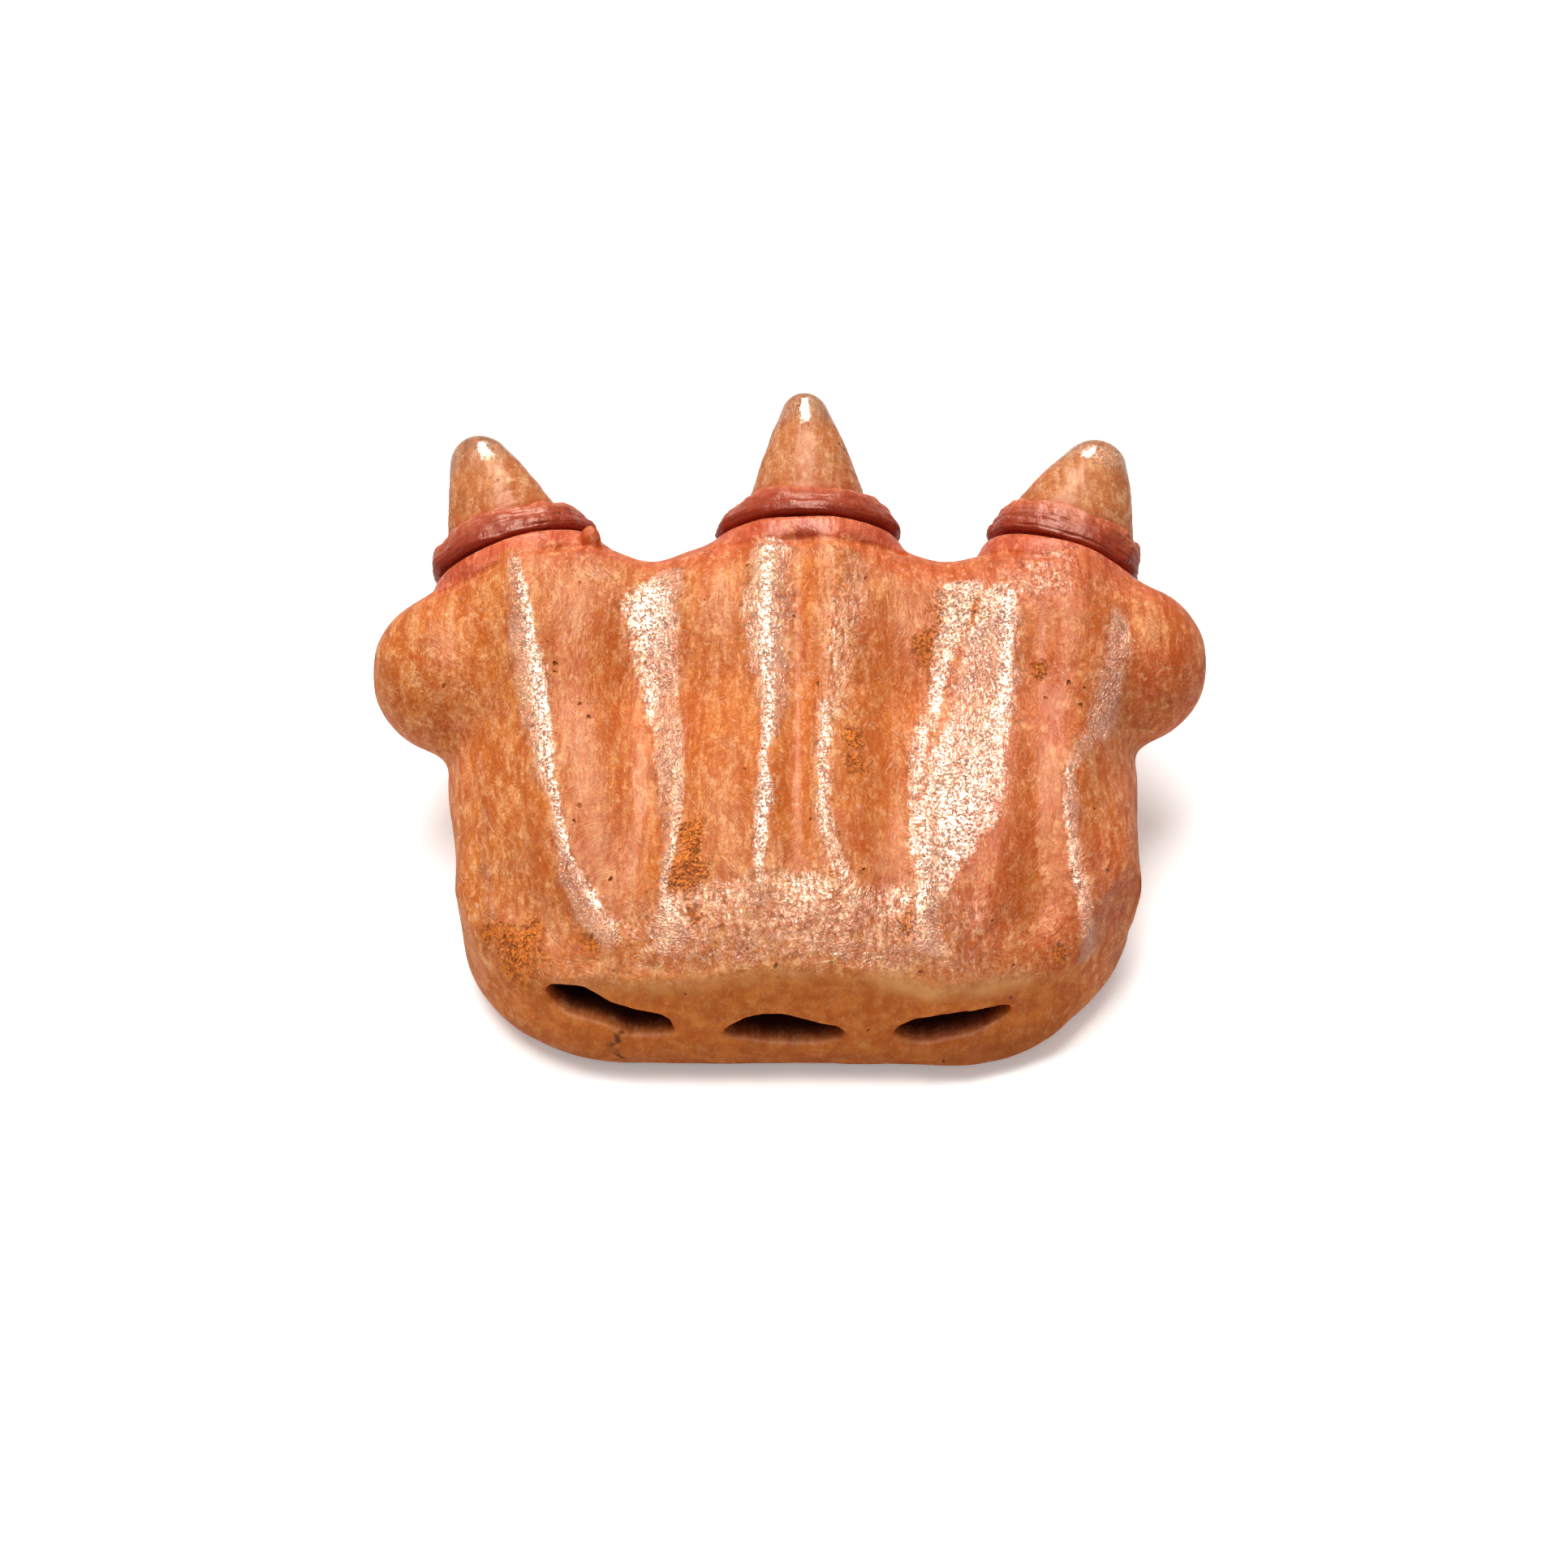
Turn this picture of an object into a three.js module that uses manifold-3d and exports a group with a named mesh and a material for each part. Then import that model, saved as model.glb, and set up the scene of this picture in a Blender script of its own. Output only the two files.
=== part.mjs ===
// Clay flute in the form of an animal's paw: three breath slots in the beak feed three chambers,
// each with its own sounding window underneath, and each chamber runs into a toe with a claw.
// Millimetres and degrees, +Z up. +X is the right of someone who looks at the mouth face, and +Y
// runs from the mouth face to the claws. The members are the ones a potter shapes one by one and
// joins with slip before firing, so each pair that meets keeps one thin joint between them.
import * as THREE from 'three';
import { mergeVertices } from 'three/addons/utils/BufferGeometryUtils.js';
import Module from 'manifold-3d';

// Driving dimensions

const clay = { wall: 4.2, joint: 0.3, overrun: 30, weld: 0.0001 };

// The layout's Y starts near the mouth face, and the finished flute is moved so that its origin
// is the middle of the face it stands on.
const origin = { y: 36 };

const beak = {
  x: 0.4, halfWidth: 39, front: -2, reach: 34, bottom: -0.4, top: 15, back: 15, lipTop: 7.7,
  rightSwell: 1.3, leftCorner: 20.5, rightCorner: 26, lowEdge: 5.2, topEdge: 3.4,
};

// The mouth face leans back above this height, less towards the sides, and the lip swells a
// little to the right.
const lean = { z: 6, slopeShare: 0.22, endY: 16 };
const lipSwell = { x: 20.5, y: 8, z: 5, radiusX: 11.5, radiusY: 11, radiusZ: 4.9, blend: 2 };
const palm = { x: 0.2, sideSwell: 2.1, y: 33, z: 14.2, radiusY: 33, radiusZ: 15.4, blend: 6 };
const web = { setIn: 11, y: 46.5, z: 21, radius: 14.8, blend: 4 };
const seam = { z: 7.5, slopeShare: 0.31 };

// The side pads stand out from the beak's half width, and their root is where they join the shells.
const pad = { rootSetOut: 4, radiusX: 10.1, radiusY: 10, radiusZ: 9.8, blend: 3 };
const leftPad = { name: 'left', side: -1, setOut: 1.4, y: 43.4, z: 22 };
const rightPad = { name: 'right', side: 1, setOut: 1.2, y: 45, z: 22.2 };
const pads = [leftPad, rightPad];

// Every toe is a round finger from its root to its knuckle. The seat is the middle of the plane
// that its cuticle sits on, the lift is the claw's angle above level, and the splay its angle to
// the right. The cuff radius is the cuticle's rim, which the toe and its plug follow.
const knuckle = { setBack: 6.4, swell: 0.4, rootRadius: 11, rootY: 22, rootZ: 13, blend: 6 };
const outerToe = { leftSetIn: 5.1, rightSetIn: 5.9, rootX: 21 };
const leftToe = {
  name: 'left', seatX: -beak.halfWidth + outerToe.leftSetIn, seatY: 57, seatZ: 28.8, rootX: -outerToe.rootX,
  liftAngle: 34, splayAngle: -21.5, cuffRadius: 10.4, rootRadius: 7.2, clawLength: 17.2, tipRadius: 3.4,
};
const centreToe = {
  name: 'centre', seatX: 2.1, seatY: 58.6, seatZ: 30.4, rootX: 1,
  liftAngle: 34, splayAngle: 0, cuffRadius: 11.4, rootRadius: 7.5, clawLength: 20, tipRadius: 2.6,
};
const rightToe = {
  name: 'right', seatX: beak.halfWidth - outerToe.rightSetIn, seatY: 56.8, seatZ: 28.8, rootX: outerToe.rootX,
  liftAngle: 34, splayAngle: 22.5, cuffRadius: 9.6, rootRadius: 8, clawLength: 16.6, tipRadius: 3.8,
};
const toes = [leftToe, centreToe, rightToe];
const plug = { faceSetBack: 3.1, collar: 2.5, collarSwell: 0.4, rimSetIn: 0.6, spigotSetIn: 3.1, spigot: 4.2 };
const cuticle = { height: 4.4, rimHeight: 1.3, topWall: 1, undercut: 0.8 };
const claw = { pegRadius: 3, peg: 4, flareShare: 1.1 };

// Crests stand up along the back of the paw and valleys, with a negative height, lie between them.
const leftCrest = { frontX: -27, backX: -33, height: 0.9, halfWidth: 4.5 };
const leftValley = { frontX: -14, backX: -17, height: -2.2, halfWidth: 5 };
const nearCrest = { frontX: -3.5, backX: -3, height: 0.7, halfWidth: 3 };
const middleCrease = { frontX: 0.3, backX: 0.6, height: -0.5, halfWidth: 2 };
const farCrest = { frontX: 4, backX: 5, height: 0.6, halfWidth: 3 };
const rightValley = { frontX: 13, backX: 19, height: -2.2, halfWidth: 6 };
const rightCrest = { frontX: 28, backX: 36, height: 0.9, halfWidth: 4.5 };
const ridges = [leftCrest, leftValley, nearCrest, middleCrease, farCrest, rightValley, rightCrest];
const ridgeFade = { lowZ: 8, highZ: 16, frontY: 5, fullY: 17, backY: 55 };

// One breath slot for each chamber. Past its mouth it narrows to its exit over the window.
const leftSlot = { name: 'left', x: -20.3, width: 14.6, height: 4.6, z: 9.3, rollAngle: -7 };
const centreSlot = { name: 'centre', x: -1, width: 13.8, height: 4.3, z: 8, rollAngle: 0 };
const rightSlot = { name: 'right', x: 17.8, width: 13, height: 4.3, z: 7.9, rollAngle: 1 };
const slots = [leftSlot, centreSlot, rightSlot];
const windway = { mouthDepth: 5, exitWidth: 10.4, exitHeight: 2.2, exitZ: 4.7 };
const window = { width: 10.4, length: 6.2 };
const labium = { length: 9, edge: 0.5, top: 4.6, foot: 0.8 };

// Two inner walls part the three chambers. Their lines run from the beak to the webs.
const partition = { thickness: 4, backY: 52 };
const leftPartition = { name: 'left', frontX: -10.6, backX: -17 };
const rightPartition = { name: 'right', frontX: 9.2, backX: 18.4 };
const partitions = [leftPartition, rightPartition];

// Two finger holes on each side, under the outer chambers
const fingerHole = { radius: 3.3, nearX: 27, nearY: 33, farX: 30, farY: 43 };
const fingerHoles = [-1, 1].flatMap((side) => [
  { x: side * fingerHole.nearX, y: fingerHole.nearY },
  { x: side * fingerHole.farX, y: fingerHole.farY },
]);

// How finely the surfaces are sampled, all in counts
const skinGrid = { x: 40, y: 26, z: 10 };
const hollowGrid = { x: 26, y: 18, z: 6 };
const castSteps = 32;
const roundSegments = 24;
const slotSteps = 8;
const slotArcs = 5;
const clawRings = 6;
const tipRings = 4;

// Small helpers for points and angles

const radians = THREE.MathUtils.degToRad;
const share = (value, from, to) => THREE.MathUtils.clamp((value - from) / (to - from), 0, 1);
const lerp = THREE.MathUtils.lerp;

function smoothMin(a, b, radius) {
  const h = THREE.MathUtils.clamp(0.5 + (0.5 * (b - a)) / radius, 0, 1);
  return lerp(b, a, h) - radius * h * (1 - h);
}

// Distances to the simple forms that the paw is modelled from, negative inside

function ellipsoidDistance(p, centre, radii) {
  const q = p.clone().sub(centre);
  const near = q.clone().divide(radii).length();
  const far = q.divide(radii).divide(radii).length();
  return far > 0 ? (near * (near - 1)) / far : -Math.min(radii.x, radii.y, radii.z);
}

function taperDistance(p, from, to, fromRadius, toRadius) {
  const along = to.clone().sub(from);
  const t = THREE.MathUtils.clamp(p.clone().sub(from).dot(along) / along.lengthSq(), 0, 1);
  return p.distanceTo(from.clone().addScaledVector(along, t)) - lerp(fromRadius, toRadius, t);
}

function beakDistance(p) {
  const halfDepth = (beak.reach - beak.front) / 2;
  const halfHeight = (beak.top - beak.bottom) / 2;
  const middleZ = beak.bottom + halfHeight;
  const isLeft = p.x < beak.x;
  const corner = isLeft ? beak.leftCorner : beak.rightCorner;
  const halfWidth = isLeft ? beak.halfWidth : beak.halfWidth + beak.rightSwell;
  const edge = p.z < middleZ ? beak.lowEdge : beak.topEdge;
  const x = Math.abs(p.x - beak.x) - (halfWidth - corner);
  const y = Math.abs(p.y - (beak.front + halfDepth)) - (halfDepth - corner);
  const z = Math.abs(p.z - middleZ) - (halfHeight - edge);
  const plan = Math.hypot(Math.max(x, 0), Math.max(y, 0)) + Math.min(Math.max(x, y), 0);
  const setBack = lean.slopeShare * Math.max(p.z - lean.z, 0) * share(p.y, lean.endY, beak.front);
  const rim = plan - corner + edge + setBack;
  return Math.min(Math.max(rim, z), 0) + Math.hypot(Math.max(rim, 0), Math.max(z, 0)) - edge;
}

// Toe lines: where each claw points, and the points along its finger

const seatOf = (toe) => new THREE.Vector3(toe.seatX, toe.seatY, toe.seatZ);
const turnOf = (toe) => new THREE.Euler(radians(toe.liftAngle), 0, -radians(toe.splayAngle), 'ZXY');
const axisOf = (toe) => new THREE.Vector3(0, 1, 0).applyEuler(turnOf(toe));
const knuckleOf = (toe) => seatOf(toe).addScaledVector(axisOf(toe), -knuckle.setBack);

const toeLines = toes.map((toe) => ({
  root: new THREE.Vector3(toe.rootX, knuckle.rootY, knuckle.rootZ),
  knuckle: knuckleOf(toe),
  radius: toe.cuffRadius + knuckle.swell,
}));
const palmCentre = new THREE.Vector3(palm.x, palm.y, palm.z);
const palmRadii = new THREE.Vector3(beak.halfWidth + palm.sideSwell, palm.radiusY, palm.radiusZ);
const webReach = beak.halfWidth - web.setIn;
const webEnds = [-webReach, webReach].map((x) => new THREE.Vector3(x, web.y, web.z));
const padCentres = pads.map((lobe) => (
  new THREE.Vector3(lobe.side * (beak.halfWidth + lobe.setOut), lobe.y, lobe.z)));
const padRootX = beak.halfWidth + pad.rootSetOut;
const padRadii = new THREE.Vector3(pad.radiusX, pad.radiusY, pad.radiusZ);
const swellCentre = new THREE.Vector3(lipSwell.x, lipSwell.y, lipSwell.z);
const swellRadii = new THREE.Vector3(lipSwell.radiusX, lipSwell.radiusY, lipSwell.radiusZ);

function ridgeHeight(p) {
  const fade = share(p.z, ridgeFade.lowZ, ridgeFade.highZ) * share(p.y, ridgeFade.frontY, ridgeFade.fullY);
  const along = share(p.y, 0, ridgeFade.backY);
  const heights = ridges.map((ridge) => {
    const offset = (p.x - lerp(ridge.frontX, ridge.backX, along)) / ridge.halfWidth;
    return ridge.height * Math.exp(-offset * offset);
  });
  return fade * heights.reduce((sum, height) => sum + height, 0);
}

function handDistance(p) {
  let distance = beakDistance(p);
  distance = smoothMin(distance, ellipsoidDistance(p, palmCentre, palmRadii), palm.blend);
  for (const line of toeLines) {
    const finger = taperDistance(p, line.root, line.knuckle, knuckle.rootRadius, line.radius);
    distance = smoothMin(distance, finger, knuckle.blend);
  }
  const bar = taperDistance(p, webEnds[0], webEnds[1], web.radius, web.radius);
  return smoothMin(distance, bar, web.blend);
}

function skinDistance(p) {
  let distance = smoothMin(handDistance(p), ellipsoidDistance(p, swellCentre, swellRadii), lipSwell.blend);
  for (const centre of padCentres) {
    distance = smoothMin(distance, ellipsoidDistance(p, centre, padRadii), pad.blend);
  }
  return distance - ridgeHeight(p);
}

const hollowDistance = (p) => handDistance(p) - ridgeHeight(p) + clay.wall;
const wallDistance = (p) => hollowDistance(p) + clay.joint;

// A closed surface sampled by casting from a slanted core plate, inside the paw, to the skin

const core = {
  halfX: beak.halfWidth - beak.lowEdge,
  frontY: beak.front + beak.lowEdge + clay.wall,
  backY: web.y + web.radius / 2,
  halfZ: clay.joint,
};
const seamHeight = (y) => seam.z + seam.slopeShare * y;

function castSurface(distance, grid) {
  const halfY = (core.backY - core.frontY) / 2;
  const middleY = (core.backY + core.frontY) / 2;
  const margin = web.radius * 2;
  const half = new THREE.Vector3(core.halfX + margin, halfY + margin, core.halfZ + margin);
  const coreHalf = new THREE.Vector3(core.halfX, halfY, core.halfZ);
  const box = new THREE.BoxGeometry(half.x * 2, half.y * 2, half.z * 2, grid.x, grid.y, grid.z);
  box.deleteAttribute('normal');
  box.deleteAttribute('uv');
  const surface = mergeVertices(box, clay.weld);
  const points = surface.attributes.position;
  for (let i = 0; i < points.count; i += 1) {
    const outer = new THREE.Vector3().fromBufferAttribute(points, i);
    const start = outer.clone().clamp(coreHalf.clone().negate(), coreHalf);
    const ray = outer.clone().sub(start).normalize();
    ray.z += seam.slopeShare * ray.y;
    start.z += seamHeight(middleY + start.y);
    start.y += middleY;
    let inside = 0;
    let outside = half.length();
    for (let step = 0; step < castSteps; step += 1) {
      const middle = (inside + outside) / 2;
      const isInside = distance(start.clone().addScaledVector(ray, middle)) < 0;
      inside = isInside ? middle : inside;
      outside = isInside ? outside : middle;
    }
    start.addScaledVector(ray, outside);
    points.setXYZ(i, start.x, start.y, start.z);
  }
  return surface;
}

// Booleans

const wasm = await Module();
wasm.setup();

function solidOf(geometry) {
  const bare = geometry.clone();
  bare.deleteAttribute('normal');
  bare.deleteAttribute('uv');
  const merged = mergeVertices(bare, clay.weld);
  return new wasm.Manifold(new wasm.Mesh({
    numProp: 3,
    vertProperties: new Float32Array(merged.attributes.position.array),
    triVerts: new Uint32Array(merged.index.array),
  }));
}

function geometryOf(solid) {
  const mesh = solid.getMesh();
  const geometry = new THREE.BufferGeometry();
  geometry.setAttribute('position', new THREE.BufferAttribute(new Float32Array(mesh.vertProperties), 3));
  geometry.setIndex(new THREE.BufferAttribute(new Uint32Array(mesh.triVerts), 1));
  geometry.computeVertexNormals();
  return geometry;
}

const joined = (solids) => solids.reduce((whole, solid) => whole.add(solid));

// A box given by its limits. A limit that is left out lies well outside the paw.
const far = beak.halfWidth + beak.reach + clay.overrun;

function block({ x = [-far, far], y = [-far, far], z = [-far, far] }) {
  const box = new THREE.BoxGeometry(x[1] - x[0], y[1] - y[0], z[1] - z[0]);
  box.translate((x[0] + x[1]) / 2, (y[0] + y[1]) / 2, (z[0] + z[1]) / 2);
  return box;
}

function aboveSeam(offset) {
  const box = block({ z: [0, far * 2] });
  box.rotateX(Math.atan(seam.slopeShare));
  return solidOf(box.translate(0, 0, seam.z + offset));
}

function belowSeam(offset) {
  const box = block({ z: [-far * 2, 0] });
  box.rotateX(Math.atan(seam.slopeShare));
  return solidOf(box.translate(0, 0, seam.z - offset));
}

// A cylinder along a toe's axis, between two places measured from the toe's seat
function toeCylinder(toe, radius, from, to) {
  const cylinder = new THREE.CylinderGeometry(radius, radius, to - from, roundSegments);
  cylinder.translate(0, (from + to) / 2, 0);
  const placed = new THREE.Matrix4().makeRotationFromEuler(turnOf(toe)).setPosition(seatOf(toe));
  return solidOf(cylinder.applyMatrix4(placed));
}

// The breath channel: a round-ended slot that tapers to its exit
function windwayCutter(slot) {
  const length = beak.back - beak.front;
  const overrun = clay.wall;
  const half = slot.width / 2;
  const radius = slot.height / 2;
  const outline = new THREE.Shape();
  outline.absarc(half - radius, 0, radius, -Math.PI / 2, Math.PI / 2);
  outline.absarc(radius - half, 0, radius, Math.PI / 2, (Math.PI * 3) / 2);
  const channel = new THREE.ExtrudeGeometry(outline, {
    depth: length + overrun * 2, bevelEnabled: false, steps: slotSteps, curveSegments: slotArcs,
  });
  const points = channel.attributes.position;
  const cosRoll = Math.cos(radians(slot.rollAngle));
  const sinRoll = Math.sin(radians(slot.rollAngle));
  for (let i = 0; i < points.count; i += 1) {
    const y = beak.front - overrun + points.getZ(i);
    const t = share(y, beak.front + windway.mouthDepth, beak.back);
    const across = -points.getX(i) * lerp(1, windway.exitWidth / slot.width, t);
    const up = points.getY(i) * lerp(1, windway.exitHeight / slot.height, t);
    const x = slot.x + across * cosRoll - up * sinRoll * (1 - t);
    const z = lerp(slot.z, windway.exitZ, t) + across * sinRoll * (1 - t) + up;
    points.setXYZ(i, x, y, z);
  }
  return solidOf(channel);
}

// The paw's whole skin, cut flat where it stands and faced off where each toe's plug sits
const faced = toes.map((toe) => toeCylinder(
  toe,
  toe.cuffRadius + knuckle.swell + clay.joint * 2,
  -plug.faceSetBack,
  clay.overrun,
));
const form = solidOf(castSurface(skinDistance, skinGrid))
  .intersect(solidOf(block({ z: [0, far] })))
  .subtract(joined(faced));
const hollow = solidOf(castSurface(hollowDistance, hollowGrid));
const bores = toes.map((toe) => toeCylinder(
  toe,
  toe.cuffRadius - plug.spigotSetIn + clay.joint,
  -plug.faceSetBack - plug.spigot - clay.joint,
  clay.overrun,
));
const shellSpace = solidOf(block({
  x: [clay.joint - padRootX, padRootX - clay.joint],
  y: [beak.back + clay.joint, far],
}));
const shells = form.intersect(shellSpace).subtract(hollow).subtract(joined(bores));

// Members

const windows = slots.map((slot) => solidOf(block({
  x: [slot.x - window.width / 2 - clay.joint, slot.x + window.width / 2 + clay.joint],
  y: [beak.front, beak.back + window.length + labium.length + clay.joint],
  z: [-clay.overrun, labium.top + clay.joint],
})));

function makeDorsalShell() {
  return shells.intersect(aboveSeam(clay.joint / 2));
}

function makePalmShell() {
  const holes = fingerHoles.map((hole) => {
    const reach = seamHeight(hole.y) * 2;
    const drill = new THREE.CylinderGeometry(fingerHole.radius, fingerHole.radius, reach, roundSegments);
    drill.rotateX(Math.PI / 2);
    return solidOf(drill.translate(hole.x, hole.y, 0));
  });
  return shells.intersect(belowSeam(clay.joint / 2)).subtract(joined([...windows, ...holes]));
}

const windways = joined(slots.map(windwayCutter));

function makeMouthBlock() {
  const space = solidOf(block({ y: [-far, beak.back], z: [beak.lipTop + clay.joint, far] }));
  return form.intersect(space).subtract(windways);
}

function makeLowerLip() {
  const space = solidOf(block({ y: [-far, beak.back], z: [-far, beak.lipTop] }));
  return form.intersect(space).subtract(windways);
}

function makeSidePad(lobe) {
  const limits = lobe.side < 0 ? [-far, -padRootX] : [padRootX, far];
  return form.intersect(solidOf(block({ x: limits })));
}

// An inner wall, cut to the shape of the hollow less one joint all round
const walls = solidOf(castSurface(wallDistance, hollowGrid))
  .intersect(solidOf(block({ y: [beak.back + clay.joint, far] })))
  .subtract(joined(windows));

function makePartition(line) {
  const run = partition.backY - beak.back;
  const lean = Math.atan2(line.backX - line.frontX, run);
  const slab = new THREE.BoxGeometry(partition.thickness, run * 2 + clay.overrun, far);
  slab.rotateZ(-lean);
  return walls.intersect(solidOf(slab.translate(line.frontX, beak.back, 0)));
}

// The blade that splits the breath, a wedge with its thin edge towards the window
function makeLabium(slot) {
  const front = beak.back + window.length;
  const back = front + labium.length;
  const side = new THREE.Shape();
  side.moveTo(front, labium.top);
  side.lineTo(front, labium.top - labium.edge);
  side.lineTo(back - labium.foot, labium.foot);
  side.lineTo(back, labium.foot);
  side.lineTo(back, labium.top);
  side.closePath();
  const blade = new THREE.ExtrudeGeometry(side, { depth: window.width, bevelEnabled: false });
  blade.rotateX(Math.PI / 2);
  blade.rotateZ(Math.PI / 2);
  return blade.translate(slot.x - window.width / 2, 0, 0);
}

// Turned members, along the toe's own Y from the middle of the cuticle

const lathe = (profile) => new THREE.LatheGeometry(
  profile.map(([radius, y]) => new THREE.Vector2(radius, y)),
  roundSegments,
);
const plugFace = plug.collar - plug.faceSetBack + clay.joint;

function makeToePlug(toe) {
  const foot = clay.joint - plug.faceSetBack;
  const spigotRadius = toe.cuffRadius - plug.spigotSetIn;
  const collarRadius = toe.cuffRadius + plug.collarSwell;
  const socketRadius = claw.pegRadius + clay.joint;
  const socketDepth = claw.peg + clay.joint;
  return lathe([
    [0, foot - plug.spigot],
    [spigotRadius, foot - plug.spigot],
    [spigotRadius, foot],
    [collarRadius, foot],
    [collarRadius, foot + plug.collar / 2],
    [toe.cuffRadius - plug.rimSetIn, plugFace],
    [socketRadius, plugFace],
    [socketRadius, plugFace - socketDepth],
    [0, plugFace - socketDepth],
  ]);
}

// A fold of clay that slopes from the claw's root out to its rim
function makeCuticle(toe) {
  const inner = toe.rootRadius + clay.joint;
  const low = plugFace + clay.joint;
  const high = low + cuticle.height;
  const middleRadius = (inner + cuticle.topWall + toe.cuffRadius) / 2;
  const middle = (low + cuticle.rimHeight + high) / 2;
  return lathe([
    [inner, low],
    [toe.cuffRadius - cuticle.undercut, low],
    [toe.cuffRadius, low + cuticle.undercut],
    [toe.cuffRadius, low + cuticle.rimHeight],
    [middleRadius + cuticle.undercut / 2, middle + cuticle.undercut / 2],
    [inner + cuticle.topWall, high],
    [inner, high],
    [inner, low],
  ]);
}

function makeClaw(toe) {
  const foot = plugFace + clay.joint;
  const rootTop = foot + cuticle.height;
  const shoulder = toe.clawLength - toe.tipRadius;
  const profile = [
    [0, foot - claw.peg],
    [claw.pegRadius, foot - claw.peg],
    [claw.pegRadius, foot],
    [toe.rootRadius, foot],
  ];
  for (let i = 0; i <= clawRings; i += 1) {
    const t = i / clawRings;
    const radius = lerp(toe.tipRadius, toe.rootRadius, (1 - t) ** claw.flareShare);
    profile.push([radius, lerp(rootTop, shoulder, t)]);
  }
  for (let i = 1; i <= tipRings; i += 1) {
    const angle = (Math.PI / 2) * (i / tipRings);
    const radius = i < tipRings ? toe.tipRadius * Math.cos(angle) : 0;
    profile.push([radius, shoulder + toe.tipRadius * Math.sin(angle)]);
  }
  return lathe(profile);
}

// Finishes

const finish = (color, roughness) => new THREE.MeshStandardMaterial({ color, roughness, metalness: 0 });
const burnished = () => finish(0xb8693c, 0.38);
const rawClay = () => finish(0xa85c38, 0.8);
const slipRed = () => finish(0xb05440, 0.4);
const clawTan = () => finish(0xc07c4c, 0.3);

function member(name, geometry, material) {
  const mesh = new THREE.Mesh(geometry, material);
  mesh.name = name;
  return mesh;
}

// Assembly

const flute = new THREE.Group();
flute.position.y = -origin.y;
flute.add(member('palm_shell', geometryOf(makePalmShell()), burnished()));
flute.add(member('dorsal_shell', geometryOf(makeDorsalShell()), burnished()));
flute.add(member('mouth_block', geometryOf(makeMouthBlock()), burnished()));
flute.add(member('lower_lip', geometryOf(makeLowerLip()), burnished()));
for (const lobe of pads) {
  flute.add(member(`side_pad_${lobe.name}`, geometryOf(makeSidePad(lobe)), burnished()));
}
for (const line of partitions) {
  flute.add(member(`chamber_wall_${line.name}`, geometryOf(makePartition(line)), rawClay()));
}
for (const slot of slots) {
  flute.add(member(`labium_${slot.name}`, makeLabium(slot), rawClay()));
}
for (const toe of toes) {
  const end = new THREE.Group();
  end.position.copy(seatOf(toe));
  end.rotation.copy(turnOf(toe));
  end.add(member(`toe_plug_${toe.name}`, makeToePlug(toe), slipRed()));
  end.add(member(`cuticle_ring_${toe.name}`, makeCuticle(toe), slipRed()));
  end.add(member(`claw_${toe.name}`, makeClaw(toe), clawTan()));
  flute.add(end);
}

export default flute;
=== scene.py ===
"""Looks of a clay flute in the form of a paw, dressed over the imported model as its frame.

The paw is modelled once as a distance form, in the layout's millimetres, and drawn out as one fine
skin. That skin is then parted along the CAD's joints, so that the burnished surface runs on from
member to member. Claws and cuticle folds are turned by Geometry Nodes, and the labia are cut blades.
"""

from __future__ import annotations

import logging
import math
from dataclasses import dataclass, field
from enum import Enum
from typing import Callable, Iterable, Mapping, Sequence

import bmesh
import bpy
import numpy as np
from mathutils import Matrix, Vector


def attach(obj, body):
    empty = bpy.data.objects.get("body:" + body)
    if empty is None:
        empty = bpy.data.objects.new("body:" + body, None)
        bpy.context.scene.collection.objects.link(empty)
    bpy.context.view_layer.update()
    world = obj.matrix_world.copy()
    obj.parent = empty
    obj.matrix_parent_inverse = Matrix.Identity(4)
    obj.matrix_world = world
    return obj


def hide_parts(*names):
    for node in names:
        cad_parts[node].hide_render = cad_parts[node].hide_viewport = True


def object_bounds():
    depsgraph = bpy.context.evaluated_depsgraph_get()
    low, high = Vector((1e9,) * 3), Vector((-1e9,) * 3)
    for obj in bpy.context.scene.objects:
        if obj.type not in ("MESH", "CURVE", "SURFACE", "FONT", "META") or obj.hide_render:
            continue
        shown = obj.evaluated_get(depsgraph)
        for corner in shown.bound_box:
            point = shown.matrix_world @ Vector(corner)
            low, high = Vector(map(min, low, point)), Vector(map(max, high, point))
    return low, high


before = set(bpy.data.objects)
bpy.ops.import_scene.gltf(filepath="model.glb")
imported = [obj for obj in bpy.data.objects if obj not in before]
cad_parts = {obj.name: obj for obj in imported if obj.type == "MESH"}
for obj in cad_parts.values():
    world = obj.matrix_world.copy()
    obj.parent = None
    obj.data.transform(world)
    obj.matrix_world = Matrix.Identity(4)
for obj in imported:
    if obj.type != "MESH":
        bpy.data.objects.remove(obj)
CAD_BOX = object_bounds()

LOG = logging.getLogger("clay_flute")
BODY = "root"
MILLIMETRE = 0.001
ORIGIN_Y = 36.0
PHOTO_PIXELS = 1932
TINY = 1e-6

Array = np.ndarray
Points = tuple[Array, Array, Array]
Form = Callable[[Points], Array]
Triple = tuple[float, float, float]
Colour = Triple
Rule = Sequence[tuple[float, float]]
Item = bpy.types.Object
Mesh = bpy.types.Mesh
Material = bpy.types.Material
Tree = bpy.types.NodeTree
Node = bpy.types.Node
Socket = bpy.types.NodeSocket
Sockets = Mapping[str, Socket]


# Small measures


def share(value: Array, start: float, end: float) -> Array:
    """How far value is from start to end, held between 0 and 1."""
    return np.clip((value - start) / (end - start), 0.0, 1.0)


def ease(value: Array, start: float, end: float) -> Array:
    """The same share with soft ends."""
    t = share(value, start, end)
    return t * t * (3.0 - 2.0 * t)


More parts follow.
